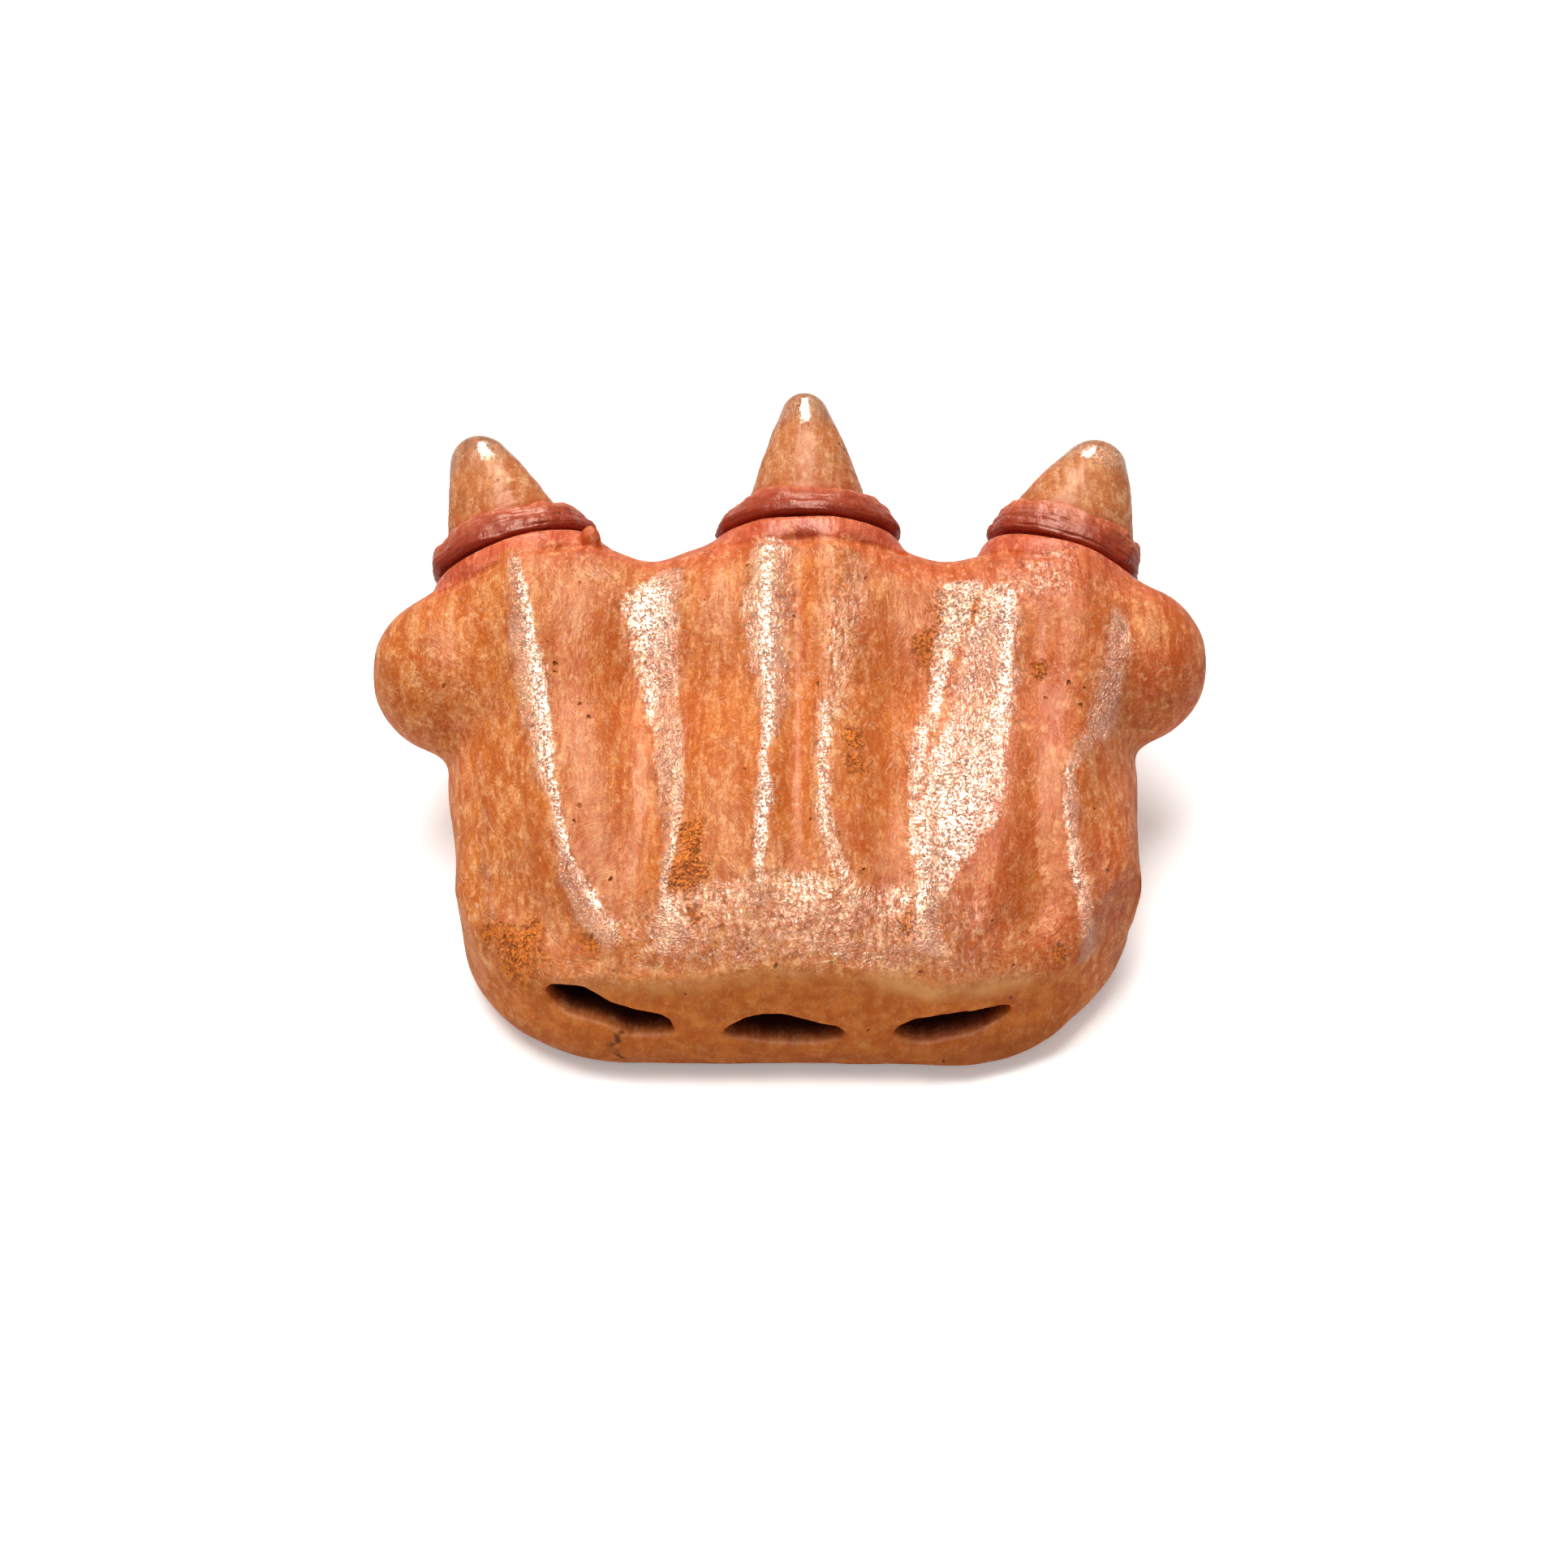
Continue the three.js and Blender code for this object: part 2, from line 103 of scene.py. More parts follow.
def mix(a: Array | float, b: Array | float, t: Array) -> Array:
    """The value at share t of the way from a to b."""
    return a + (b - a) * t


def smooth_min(a: Array, b: Array, radius: float) -> Array:
    """Joins two forms with a fillet.

    Args:
        a: Distances to the first form.
        b: Distances to the second form.
        radius: Reach of the fillet, in millimetres.

    Returns:
        Distances to the joined form.
    """
    h = np.clip(0.5 + 0.5 * (b - a) / radius, 0.0, 1.0)
    return mix(b, a, h) - radius * h * (1.0 - h)


def smooth_cut(a: Array, b: Array, radius: float) -> Array:
    """Takes form b out of form a and rounds the rim by about radius."""
    return -smooth_min(-a, b, radius)


def along_path(y: Array, ys: Array, lead_in: tuple[float, float], run_out: tuple[float, float]) -> Array:
    """Share that eases in at a path's start and out at its end, each between two places past that point."""
    return ease(y, ys[0] + lead_in[0], ys[0] + lead_in[1]) * ease(-y, -ys[-1] + run_out[0], -ys[-1] + run_out[1])


# Sizes of the paw, in the layout's millimetres


@dataclass(frozen=True)
class Beak:
    """The rounded slab that the player blows into."""

    x: float = 0.4
    half_width: float = 39.0
    right_swell: float = 1.3
    front: float = -2.0
    reach: float = 34.0
    bottom: float = -0.4
    top: float = 15.0
    left_corner: float = 20.5
    right_corner: float = 26.0
    low_edge: float = 5.2
    top_edge: float = 3.4
    back: float = 15.0
    lip_top: float = 7.7
    lean_z: float = 6.0
    lean_share: float = 0.22
    lean_end: float = 16.0


@dataclass(frozen=True)
class Lobe:
    """An ellipsoid swelling, with the reach of its fillet."""

    centre: Triple
    radii: Triple
    blend: float


@dataclass(frozen=True)
class Ridge:
    """A crest of the paw's back, or a trough where its height is negative."""

    front_x: float
    back_x: float
    height: float
    half_width: float


@dataclass(frozen=True)
class CrestLine:
    """A fine crest or crease that a finger drew along the back.

    Args:
        path: (y, x) points that it runs through.
        height: How far it stands up, or lies in where negative.
        width: How quickly it falls off to the sides.
    """

    path: tuple[tuple[float, float], ...]
    height: float
    width: float

    def at(self, p: Points) -> Array:
        """Its height at each point.

        Args:
            p: Layout coordinates.

        Returns:
            Millimetres above the back, or below it where negative.
        """
        ys, xs = np.array(self.path).T
        offset = (p[0] - np.interp(p[1], ys, xs)) / self.width
        return self.height * along_path(p[1], ys, (-2.5, 1.5), (-2.0, 7.0)) * np.exp(-offset * offset)


@dataclass(frozen=True)
class PaintedStripe:
    """A stripe along the back: a glossy streak tinted pale as painted highlight, or a band of painted shade.

    Args:
        path: (y, x, half width) points along its middle.
        strength: How strong it is, from 0 to 1.
    """

    path: tuple[Triple, ...]
    strength: float = 1.0

    def at(self, p: Points) -> Array:
        """How strongly each point lies in the stripe, 0.5 at the stripe's edge.

        Args:
            p: Layout coordinates.

        Returns:
            Values from 0 to 1.
        """
        ys, xs, half_widths = np.array(self.path).T
        away = np.abs(p[0] - np.interp(p[1], ys, xs)) / np.interp(p[1], ys, half_widths)
        return self.strength * ease(-away, -1.9, -0.1) * along_path(p[1], ys, (-1.5, 1.0), (-2.0, 1.0))


@dataclass(frozen=True)
class Toe:
    """One toe: the seat of its cuticle, and how its claw points."""

    name: str
    seat: Triple
    root_x: float
    splay: float
    cuff: float
    root_radius: float
    claw_length: float
    tip_radius: float
    tip_lean: float
    lift: float = 34.0

    @property
    def axis(self) -> Array:
        """Unit vector that the claw points along."""
        lift, splay = math.radians(self.lift), math.radians(self.splay)
        return np.array((math.cos(lift) * math.sin(splay), math.cos(lift) * math.cos(splay), math.sin(lift)))

    @property
    def placing(self) -> Matrix:
        """From the toe's own metres, +Y along its axis, to the flute's frame.

        Returns:
            The matrix.
        """
        turn = Matrix.Rotation(-math.radians(self.splay), 4, "Z") @ Matrix.Rotation(math.radians(self.lift), 4, "X")
        place = Vector((self.seat[0], self.seat[1] - ORIGIN_Y, self.seat[2])) * MILLIMETRE
        return Matrix.Translation(place) @ turn


@dataclass(frozen=True)
class Slot:
    """A breath slot: its outline on the mouth face as (x, z) points, and its windway's exit."""

    name: str
    exit_x: float
    outline: tuple[tuple[float, float], ...]


BEAK = Beak()
PALM = Lobe((0.2, 33.0, 14.2), (41.1, 33.0, 15.4), 6.0)
LIP_SWELL = Lobe((20.5, 8.0, 5.0), (11.5, 11.0, 4.9), 2.0)
PADS = (
    Lobe((-40.4, 43.4, 22.0), (10.1, 10.0, 9.8), 3.0),
    Lobe((40.2, 45.0, 22.2), (10.1, 10.0, 9.8), 3.0),
)
TOES = (
    Toe("left", (-33.9, 57.0, 28.8), -21.0, -21.5, 10.4, 7.2, 17.0, 3.8, -0.8),
    Toe("centre", (2.1, 58.6, 30.4), 1.0, 0.0, 11.4, 7.5, 19.7, 3.0, -0.5),
    Toe("right", (33.1, 56.8, 28.8), 21.0, 22.5, 9.6, 8.0, 16.5, 4.2, 0.6),
)
FLANK = Lobe((34.0, 21.0, 12.8), (5.8, 12.5, 6.8), 3.0)
NUB = Lobe((-23.9, 52.6, 35.1), (1.5, 1.5, 2.3), 1.0)
RIDGES = (
    Ridge(-27.0, -33.0, 0.9, 4.5),
    Ridge(-14.0, -17.0, -2.2, 5.0),
    Ridge(-3.5, -3.0, 0.7, 3.0),
    Ridge(0.3, 0.6, -0.5, 2.0),
    Ridge(4.0, 5.0, 0.6, 3.0),
    Ridge(13.0, 19.0, -2.2, 6.0),
    Ridge(28.0, 36.0, 0.9, 4.5),
)
CRESTS = (
    CrestLine(((3, -19.7), (5, -21.5), (9, -24.3), (12, -25.6), (15, -26.4), (20, -27.7), (30, -29.7),
               (48, -33.0)), 0.75, 2.6),
    CrestLine(((8, -17.4), (24, -18.2), (44, -20.5)), -0.6, 2.6),
    CrestLine(((3, -14.2), (8, -14.2), (15, -13.6), (27, -13.8), (38, -14.6)), 0.3, 1.5),
    CrestLine(((5, -3.4), (14, -3.1), (21, -2.9), (28, -2.2), (36, -3.0), (52, -3.0)), 0.4, 1.8),
    CrestLine(((8, 0.6), (20, 0.5), (52, 1.0)), -0.3, 1.3),
    CrestLine(((6, 3.8), (14, 3.3), (28, 3.4), (36, 4.4), (50, 5.8)), 0.2, 1.2),
    CrestLine(((4, 9.8), (20, 10.4), (45, 12.4)), -0.5, 2.2),
    CrestLine(((3, 14.8), (18, 15.2), (32, 15.8)), 0.25, 1.1),
    CrestLine(((4, 21.4), (14, 23.2), (24, 23.8), (34, 24.6), (44, 25.6)), 0.4, 1.8),
    CrestLine(((6, 27.0), (22, 27.8), (44, 29.8)), -0.9, 2.3),
    CrestLine(((3, 33.6), (12, 32.4), (18, 31.8), (25, 33.2), (32, 36.6), (40, 38.0)), 0.95, 2.6),
)
# Glossy streaks of the back, which are also tinted pale as painted highlight.
HIGHLIGHT_STREAKS = (
    PaintedStripe(((3, -19.7, 1.2), (5, -21.5, 1.5), (9, -24.4, 1.5), (11, -25.0, 0.6), (15, -26.1, 0.8),
                  (20, -27.5, 1.1), (25, -28.5, 1.4), (30, -29.6, 1.7), (36, -31.0, 1.7), (41, -31.8, 1.2),
                  (47, -32.8, 0.6))),
    PaintedStripe(((6, -13.8, 0.3), (10, -13.9, 0.7), (15, -13.5, 1.1), (21, -13.8, 1.5), (27, -14.0, 1.4),
                  (32, -14.8, 1.8), (37, -15.6, 2.4), (42, -16.6, 3.2), (48, -14.5, 1.6))),
    PaintedStripe(((1.5, -13.2, 2.4), (3.5, -13.4, 2.3), (5.5, -13.8, 1.2)), 0.85),
    PaintedStripe(((6, -3.4, 0.3), (10, -3.3, 0.8), (14, -3.0, 1.0), (18, -3.0, 0.6), (21, -2.9, 0.5), (25, -2.5, 1.0),
                  (28, -2.2, 1.6), (33, -2.6, 2.2), (40, -2.9, 2.4), (45, -2.7, 2.6), (49, -2.4, 2.2))),
    PaintedStripe(((3, 8.0, 1.0), (8, 5.2, 1.2), (14, 3.2, 1.1), (21, 3.2, 1.3), (28, 3.8, 1.2)), 0.62),
    PaintedStripe(((26, 5.0, 1.4), (34, 6.0, 2.2), (42, 7.2, 2.6), (48, 7.6, 2.4)), 0.5),
    PaintedStripe(((1.5, 15.2, 2.6), (4, 14.8, 1.7), (9, 15.8, 2.2), (14, 18.2, 3.9), (19, 19.2, 4.6), (24, 19.8, 4.8),
                  (29, 21.6, 3.8), (34, 22.8, 3.6), (39, 23.6, 2.6), (44, 24.6, 1.5))),
    PaintedStripe(((10, 13.4, 0.5), (16, 13.6, 0.9), (24, 14.2, 0.9), (31, 15.2, 0.6)), 0.7),
    PaintedStripe(((28, 15.6, 0.7), (34, 17.0, 1.1), (41, 19.2, 2.4), (46, 20.5, 3.0)), 0.8),
    PaintedStripe(((2, 33.8, 1.0), (5, 33.6, 1.4), (9, 32.6, 0.8), (12, 31.9, 0.9), (18, 31.4, 1.1), (22, 31.4, 0.8),
                  (26, 33.4, 0.9), (32, 36.4, 1.7), (38, 38.2, 1.6), (42, 38.6, 0.9)), 0.9),
    PaintedStripe(((8, -33.4, 0.5), (14, -34.4, 0.7), (22, -35.6, 0.5)), 0.5),
    PaintedStripe(((0, 2.0, 24.0), (7, 2.0, 24.0)), 0.54),
    PaintedStripe(((5, 34.5, 4.0), (14, 35.0, 3.0)), 0.36),
    PaintedStripe(((44, -23.0, 4.0), (50, -24.0, 3.0)), 0.4),
    PaintedStripe(((42, 28.0, 7.0), (50, 30.0, 6.0)), 0.4),
)
SHADOWS = (
    PaintedStripe(((4, -17.2, 2.2), (14, -20.4, 4.6), (24, -21.4, 5.4), (34, -23.6, 5.2), (44, -26.0, 3.4)), 0.9),
    PaintedStripe(((6, -9.0, 2.6), (20, -8.4, 3.4), (34, -8.4, 3.4), (46, -9.0, 3.0)), 0.5),
    PaintedStripe(((6, 0.8, 1.6), (18, 0.4, 1.9), (30, 1.2, 1.5), (50, 2.2, 1.6)), 0.7),
    PaintedStripe(((6, 10.0, 1.8), (18, 9.8, 2.8), (30, 11.2, 3.0), (46, 13.4, 3.0)), 0.9),
    PaintedStripe(((5, 24.5, 3.0), (14, 26.6, 2.8), (24, 27.8, 2.4), (34, 30.2, 2.2), (46, 31.0, 1.6)), 0.95),
)
MOUTH_EDGE = (
    # x, then y and z of the crease over the mouth face, then y of the face at its foot
    (-40.0, 15.0, 8.0, 14.0), (-34.6, 7.0, 9.3, 6.3), (-30.6, 3.3, 11.2, 2.3), (-24.9, 0.8, 12.7, -0.75),
    (-17.6, -0.45, 13.2, -1.95), (-11.4, -0.8, 13.7, -2.0), (-6.8, -0.66, 15.0, -2.0), (-2.3, -0.7, 15.4, -2.0),
    (1.9, -0.7, 15.4, -2.0), (7.3, -0.57, 14.9, -2.0), (11.0, -0.65, 14.2, -2.0), (15.3, -1.0, 12.9, -2.0),
    (19.9, -0.4, 12.6, -1.5), (24.6, 1.16, 12.3, 0.0), (28.3, 2.84, 11.7, 2.0), (32.0, 5.5, 10.8, 4.5),
    (40.0, 15.0, 8.0, 14.0),
)
SLOTS = (
    Slot("left", -20.3, (
        (-27.4, 11.2), (-26.6, 12.2), (-24.9, 12.6), (-23.0, 12.5), (-21.6, 11.7), (-20.2, 10.9), (-17.4, 10.3),
        (-14.8, 9.8), (-13.7, 9.2), (-13.0, 7.6), (-13.4, 7.2), (-15.6, 7.0), (-18.0, 6.9), (-20.4, 7.8),
        (-22.6, 8.3), (-24.9, 8.8), (-26.6, 9.8),
    )),
    Slot("centre", -1.0, (
        (-7.7, 7.5), (-6.8, 8.4), (-5.0, 9.5), (-3.1, 10.0), (-1.1, 10.0), (0.9, 9.4), (3.2, 8.6), (5.0, 8.2),
        (5.9, 7.4), (5.5, 6.6), (3.9, 6.1), (1.0, 5.9), (-2.4, 6.0), (-4.9, 6.5), (-6.8, 6.9),
    )),
    Slot("right", 17.8, (
        (11.3, 7.4), (12.0, 8.3), (13.6, 9.2), (15.8, 9.6), (18.4, 9.8), (21.1, 9.7), (23.4, 9.6), (24.3, 9.3),
        (24.3, 8.6), (23.2, 7.7), (21.3, 7.0), (19.0, 6.6), (17.0, 6.3), (15.6, 6.05), (14.0, 6.0), (12.2, 6.5),
    )),
)
HOLES = ((-27.0, 33.0), (-30.0, 43.0), (27.0, 33.0), (30.0, 43.0))


class ClayNoise:
    """Smooth random heights on a lattice, the same in every run."""

    def __init__(self, seed: int, cells: int = 64) -> None:
        """Fills the lattice.

        Args:
            seed: Fixed seed of the heights.
            cells: Lattice points along each axis.
        """
        self.cells = cells
        self.heights = np.random.RandomState(seed).uniform(-1.0, 1.0, (cells, cells, cells)).astype(np.float32)

    def at(self, p: Points, size: Sequence[float]) -> Array:
        """Height at each point.

        Args:
            p: Point coordinates.
            size: Lattice spacing along each axis, in millimetres.

        Returns:
            Values from -1 to 1.
        """
        whole, part = [], []
        for axis in range(3):
            scaled = p[axis] / size[axis] + self.cells * 8
            floor = np.floor(scaled)
            t = (scaled - floor).astype(np.float32)
            whole.append(floor.astype(np.int64) % self.cells)
            part.append(t * t * (3 - 2 * t))
        total = np.zeros_like(part[0])
        for corner in range(8):
            steps = [(corner >> axis) & 1 for axis in range(3)]
            index = [(whole[axis] + steps[axis]) % self.cells for axis in range(3)]
            weight = np.ones_like(total)
            for axis in range(3):
                weight = weight * (part[axis] if steps[axis] else 1 - part[axis])
            total += weight * self.heights[index[0], index[1], index[2]]
        return total


def ellipsoid(p: Points, lobe: Lobe) -> Array:
    """Distance to a lobe, negative inside.

    Args:
        p: Layout coordinates.
        lobe: The lobe.

    Returns:
        Millimetres, nearly.
    """
    q = [(p[i] - lobe.centre[i]) / lobe.radii[i] for i in range(3)]
    near = np.sqrt(q[0] ** 2 + q[1] ** 2 + q[2] ** 2)
    far = np.sqrt(sum((q[i] / lobe.radii[i]) ** 2 for i in range(3)))
    return near * (near - 1.0) / np.maximum(far, TINY)


def taper(p: Points, start: Sequence[float], end: Sequence[float], radius: float, end_radius: float) -> Array:
    """Distance to a round finger that runs from start to end.

    Args:
        p: Layout coordinates.
        start: Middle of its start.
        end: Middle of its end.
        radius: Radius at the start.
        end_radius: Radius at the end.

    Returns:
        Millimetres, negative inside.
    """
    along = [end[i] - start[i] for i in range(3)]
    length2 = sum(v * v for v in along)
    t = np.clip(sum((p[i] - start[i]) * along[i] for i in range(3)) / length2, 0.0, 1.0)
    off = [p[i] - start[i] - along[i] * t for i in range(3)]
    return np.sqrt(off[0] ** 2 + off[1] ** 2 + off[2] ** 2) - mix(radius, end_radius, t)


def polygon(x: Array, z: Array, outline: Sequence[Sequence[float]]) -> Array:
    """Distance to a closed outline in the plane of the mouth face, negative inside.

    Args:
        x: Places along the face.
        z: Heights on it.
        outline: Its corners.

    Returns:
        Millimetres.
    """
    near = np.full(x.shape, 1e9)
    inside = np.zeros(x.shape, bool)
    for (ax, az), (bx, bz) in zip(outline, list(outline[1:]) + [outline[0]]):
        ex, ez = bx - ax, bz - az
        t = np.clip(((x - ax) * ex + (z - az) * ez) / (ex * ex + ez * ez), 0.0, 1.0)
        near = np.minimum(near, (x - ax - ex * t) ** 2 + (z - az - ez * t) ** 2)
        crosses = (az > z) != (bz > z)
        inside ^= crosses & (x < ex * (z - az) / (ez if ez else 1e-9) + ax)
    return np.where(inside, -1.0, 1.0) * np.sqrt(near)


@dataclass
class PawForm:
    """The whole paw as one distance form, with its hollow, windways, windows and finger holes."""

    wall: float = 4.2
    web_reach: float = 28.0
    web_line: tuple[float, float] = (46.5, 21.0)
    web_radius: float = 14.8
    web_blend: float = 4.0
    knuckle_back: float = 6.4
    knuckle_swell: float = 0.4
    knuckle_blend: float = 6.0
    finger_root: Triple = (22.0, 13.0, 11.0)
    band_back: float = 1.7
    band_radius: float = 1.5
    band_blend: float = 0.9
    groove_place: float = -3.6
    groove_width: float = 0.6
    groove_depth: float = 0.45
    toe_face: float = -0.3
    spigot_depth: float = 7.0
    wave_height: float = 0.3
    lump_height: float = 0.07
    seam_z: float = 7.5
    seam_share: float = 0.31
    window: tuple[float, float] = (10.4, 15.2)
    window_top: float = 4.9
    hole_radius: float = 3.3
    slot_rim: float = 0.7
    room_inset: float = 0.15
    roll_height: float = 0.42
    roll_radius: float = 1.3
    mouth_depth: float = 5.0
    exit_size: tuple[float, float] = (10.4, 2.2)
    exit_z: float = 4.7
    rim_gap: float = 0.3
    joint_gap: float = 0.15
    cuff_room: float = 1.2
    ground_round: float = 0.8
    waves: ClayNoise = field(default_factory=lambda: ClayNoise(11))
    lumps: ClayNoise = field(default_factory=lambda: ClayNoise(29))

    def beak(self, p: Points) -> Array:
        """Distance to the beak's slab, whose mouth face leans back.

        Args:
            p: Layout coordinates.

        Returns:
            Millimetres, negative inside.
        """
        x, y, z = p
        half_depth = (BEAK.reach - BEAK.front) / 2
        half_height = (BEAK.top - BEAK.bottom) / 2
        middle_z = BEAK.bottom + half_height
        is_left = x < BEAK.x
        corner = np.where(is_left, BEAK.left_corner, BEAK.right_corner)
        half_width = np.where(is_left, BEAK.half_width, BEAK.half_width + BEAK.right_swell)
        edge = np.where(z < middle_z, BEAK.low_edge, BEAK.top_edge)
        across = np.abs(x - BEAK.x) - (half_width - corner)
        along = np.abs(y - (BEAK.front + half_depth)) - (half_depth - corner)
        up = np.abs(z - middle_z) - (half_height - edge)
        plan = np.hypot(np.maximum(across, 0), np.maximum(along, 0)) + np.minimum(np.maximum(across, along), 0)
        set_back = BEAK.lean_share * np.maximum(z - BEAK.lean_z, 0) * share(y, BEAK.lean_end, BEAK.front)
        rim = plan - corner + edge + set_back
        return np.minimum(np.maximum(rim, up), 0) + np.hypot(np.maximum(rim, 0), np.maximum(up, 0)) - edge

    def ridge_height(self, p: Points) -> Array:
        """How far the crests stand up, or the valleys lie in, along the back.

        Args:
            p: Layout coordinates.

        Returns:
            Millimetres.
        """
        x, y, z = p
        along = share(y, 0, 55)
        total = np.zeros_like(x)
        for ridge in RIDGES:
            offset = (x - mix(ridge.front_x, ridge.back_x, along)) / ridge.half_width
            total += ridge.height * np.exp(-offset * offset)
        return share(z, 8, 16) * share(y, 5, 17) * total

    def crests(self, p: Points) -> Array:
        """Fine crests and creases of the back, which wander in height along their way.

        Args:
            p: Layout coordinates.

        Returns:
            Millimetres.
        """
        x, y, z = p
        waver = 1.0 + 0.45 * self.waves.at(p, (30.0, 7.0, 30.0))
        return ease(z, 10.5, 14.5) * waver * sum(crest.at(p) for crest in CRESTS)

    def hand(self, p: Points) -> Array:
        """Distance to beak, palm, fingers and webs.

        Args:
            p: Layout coordinates.

        Returns:
            Millimetres, negative inside.
        """
        d = smooth_min(self.beak(p), ellipsoid(p, PALM), PALM.blend)
        root_y, root_z, root_radius = self.finger_root
        for toe in TOES:
            knuckle = np.array(toe.seat) - toe.axis * self.knuckle_back
            finger = taper(p, (toe.root_x, root_y, root_z), knuckle, root_radius, toe.cuff + self.knuckle_swell)
            d = smooth_min(d, finger, self.knuckle_blend)
        ends = [(side * self.web_reach, *self.web_line) for side in (-1, 1)]
        return smooth_min(d, taper(p, ends[0], ends[1], self.web_radius, self.web_radius), self.web_blend)

    def toe_place(self, p: Points, toe: Toe) -> tuple[Array, Array]:
        """Distance from a toe's axis, and place along it from the seat.

        Args:
            p: Layout coordinates.
            toe: The toe.

        Returns:
            Both, in millimetres.
        """
        q = [p[i] - toe.seat[i] for i in range(3)]
        s = q[0] * toe.axis[0] + q[1] * toe.axis[1] + q[2] * toe.axis[2]
        r = np.sqrt(np.maximum(q[0] ** 2 + q[1] ** 2 + q[2] ** 2 - s * s, 0.0))
        return r, s

    def unevenness(self, p: Points) -> Array:
        """What the potter's hands left: long waves and small lumps, calm on the mouth face.

        Args:
            p: Layout coordinates.

        Returns:
            Millimetres.
        """
        calm = mix(0.35, 1.0, ease(p[2], 10, 16)) * mix(1.0, 0.25, ease(np.abs(p[0]), 31, 38))
        long_wave = self.waves.at(p, (9.0, 15.0, 9.0)) * self.wave_height
        return long_wave * calm + self.lumps.at(p, (2.2, 3.4, 2.2)) * self.lump_height

    def mouth_edge(self, p: Points) -> tuple[Array, Array, Array]:
        """Place of the crease over the mouth face, and of the face's foot, at each x."""
        xs, ys, zs, feet = np.array(MOUTH_EDGE).T
        return np.interp(p[0], xs, ys), np.interp(p[0], xs, zs), np.interp(p[0], xs, feet)

    def mouth_face(self, p: Points) -> Array:
        """Distance in front of the flat of the mouth face, which ends at a crisp, wavy crease.

        Args:
            p: Layout coordinates.

        Returns:
            Millimetres.
        """
        edge_y, edge_z, foot_y = self.mouth_edge(p)
        t = (p[2] - BEAK.lean_z) / (edge_z - BEAK.lean_z)
        inset = mix(0.08, -0.9, ease(np.abs(p[0] - 1.0), 22, 32))
        return mix(foot_y, edge_y, t) + inset - p[1]

    def edge_roll(self, p: Points) -> Array:
        """How close each point is to the roll of clay along the crease, from 0 to 1.

        Args:
            p: Layout coordinates.

        Returns:
            The share.
        """
        edge_y, edge_z, _ = self.mouth_edge(p)
        away2 = (p[1] - edge_y - 0.3) ** 2 + (p[2] - edge_z - 0.35) ** 2
        return np.exp(-away2 / self.roll_radius ** 2) * mix(1.0, 0.35, ease(np.abs(p[0] - 1.0), 20, 32))

    def skin(self, p: Points) -> Array:
        """Distance to the paw's outside, before it is cut flat underneath.

        Args:
            p: Layout coordinates.

        Returns:
            Millimetres, negative inside.
        """
        d = smooth_min(self.hand(p), ellipsoid(p, LIP_SWELL), LIP_SWELL.blend)
        for lobe in (*PADS, FLANK, NUB):
            d = smooth_min(d, ellipsoid(p, lobe), lobe.blend)
        d = d - self.ridge_height(p) - self.unevenness(p) - self.crests(p)
        d = d - self.roll_height * self.edge_roll(p)
        d = smooth_cut(d, -self.mouth_face(p), 0.25)
        for toe in TOES:
            r, s = self.toe_place(p, toe)
            band = np.hypot(r - (toe.cuff + 0.15 - self.band_radius), s + self.band_back) - self.band_radius
            d = smooth_min(d, band, self.band_blend)
            groove = np.exp(-((s - self.groove_place) / self.groove_width) ** 2)
            d = d + self.groove_depth * groove * ease(-np.abs(r - toe.cuff), -2.6, -1.0)
            past_face = np.maximum(self.toe_face - s, r - (toe.cuff + self.cuff_room))
            d = smooth_cut(d, past_face, 0.3)
        return d

    def hollow(self, p: Points) -> Array:
        """Distance to the air inside, which stops short of the beak and of each toe's plug.

        Args:
            p: Layout coordinates.

        Returns:
            Millimetres, negative inside.
        """
        d = self.hand(p) - self.ridge_height(p) + self.wall
        for toe in TOES:
            d = np.maximum(d, self.toe_place(p, toe)[1] + self.spigot_depth)
        return np.maximum(d, BEAK.back + self.joint_gap - p[1])

    def room(self, p: Points) -> Array:
        """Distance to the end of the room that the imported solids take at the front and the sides."""
        low, high = to_layout(np.array(CAD_BOX))
        return np.minimum(np.minimum(p[0] - low[0], high[0] - p[0]), p[1] - low[1]) - self.room_inset

    def windway(self, p: Points, slot: Slot) -> Array:
        """Distance to a breath channel, which keeps its outline at the mouth and narrows to its exit.

        Args:
            p: Layout coordinates.
            slot: The channel's slot.

        Returns:
            Millimetres, negative inside.
        """
        x, y, z = p
        corners = np.array(slot.outline)
        middle = (corners.max(0) + corners.min(0)) / 2
        size = corners.max(0) - corners.min(0)
        t = share(y, BEAK.front + self.mouth_depth, BEAK.back)
        wide = mix(1.0, self.exit_size[0] / size[0], t)
        high = mix(1.0, self.exit_size[1] / size[1], t)
        flat_x = middle[0] + (x - mix(middle[0], slot.exit_x, t)) / wide
        flat_z = middle[1] + (z - mix(middle[1], self.exit_z, t)) / high
        return np.maximum(polygon(flat_x, flat_z, slot.outline) * high, y - BEAK.back - 0.6)

    def openings(self, p: Points) -> Array:
        """Distance to the windows and finger holes of the underside.

        Args:
            p: Layout coordinates.

        Returns:
            Millimetres, negative inside.
        """
        x, y, z = p
        d = np.full(x.shape, 1e3)
        for slot in SLOTS:
            across = np.abs(x - slot.exit_x) - self.window[0] / 2 - self.rim_gap
            along = np.abs(y - (BEAK.back + self.window[1] / 2)) - self.window[1] / 2 - self.rim_gap
            d = np.minimum(d, np.maximum(np.maximum(across, along), z - self.window_top))
        for hole_x, hole_y in HOLES:
            round_hole = np.hypot(x - hole_x, y - hole_y) - self.hole_radius
            d = np.minimum(d, np.maximum(round_hole, z - self.seam_z - self.seam_share * hole_y))
        return d

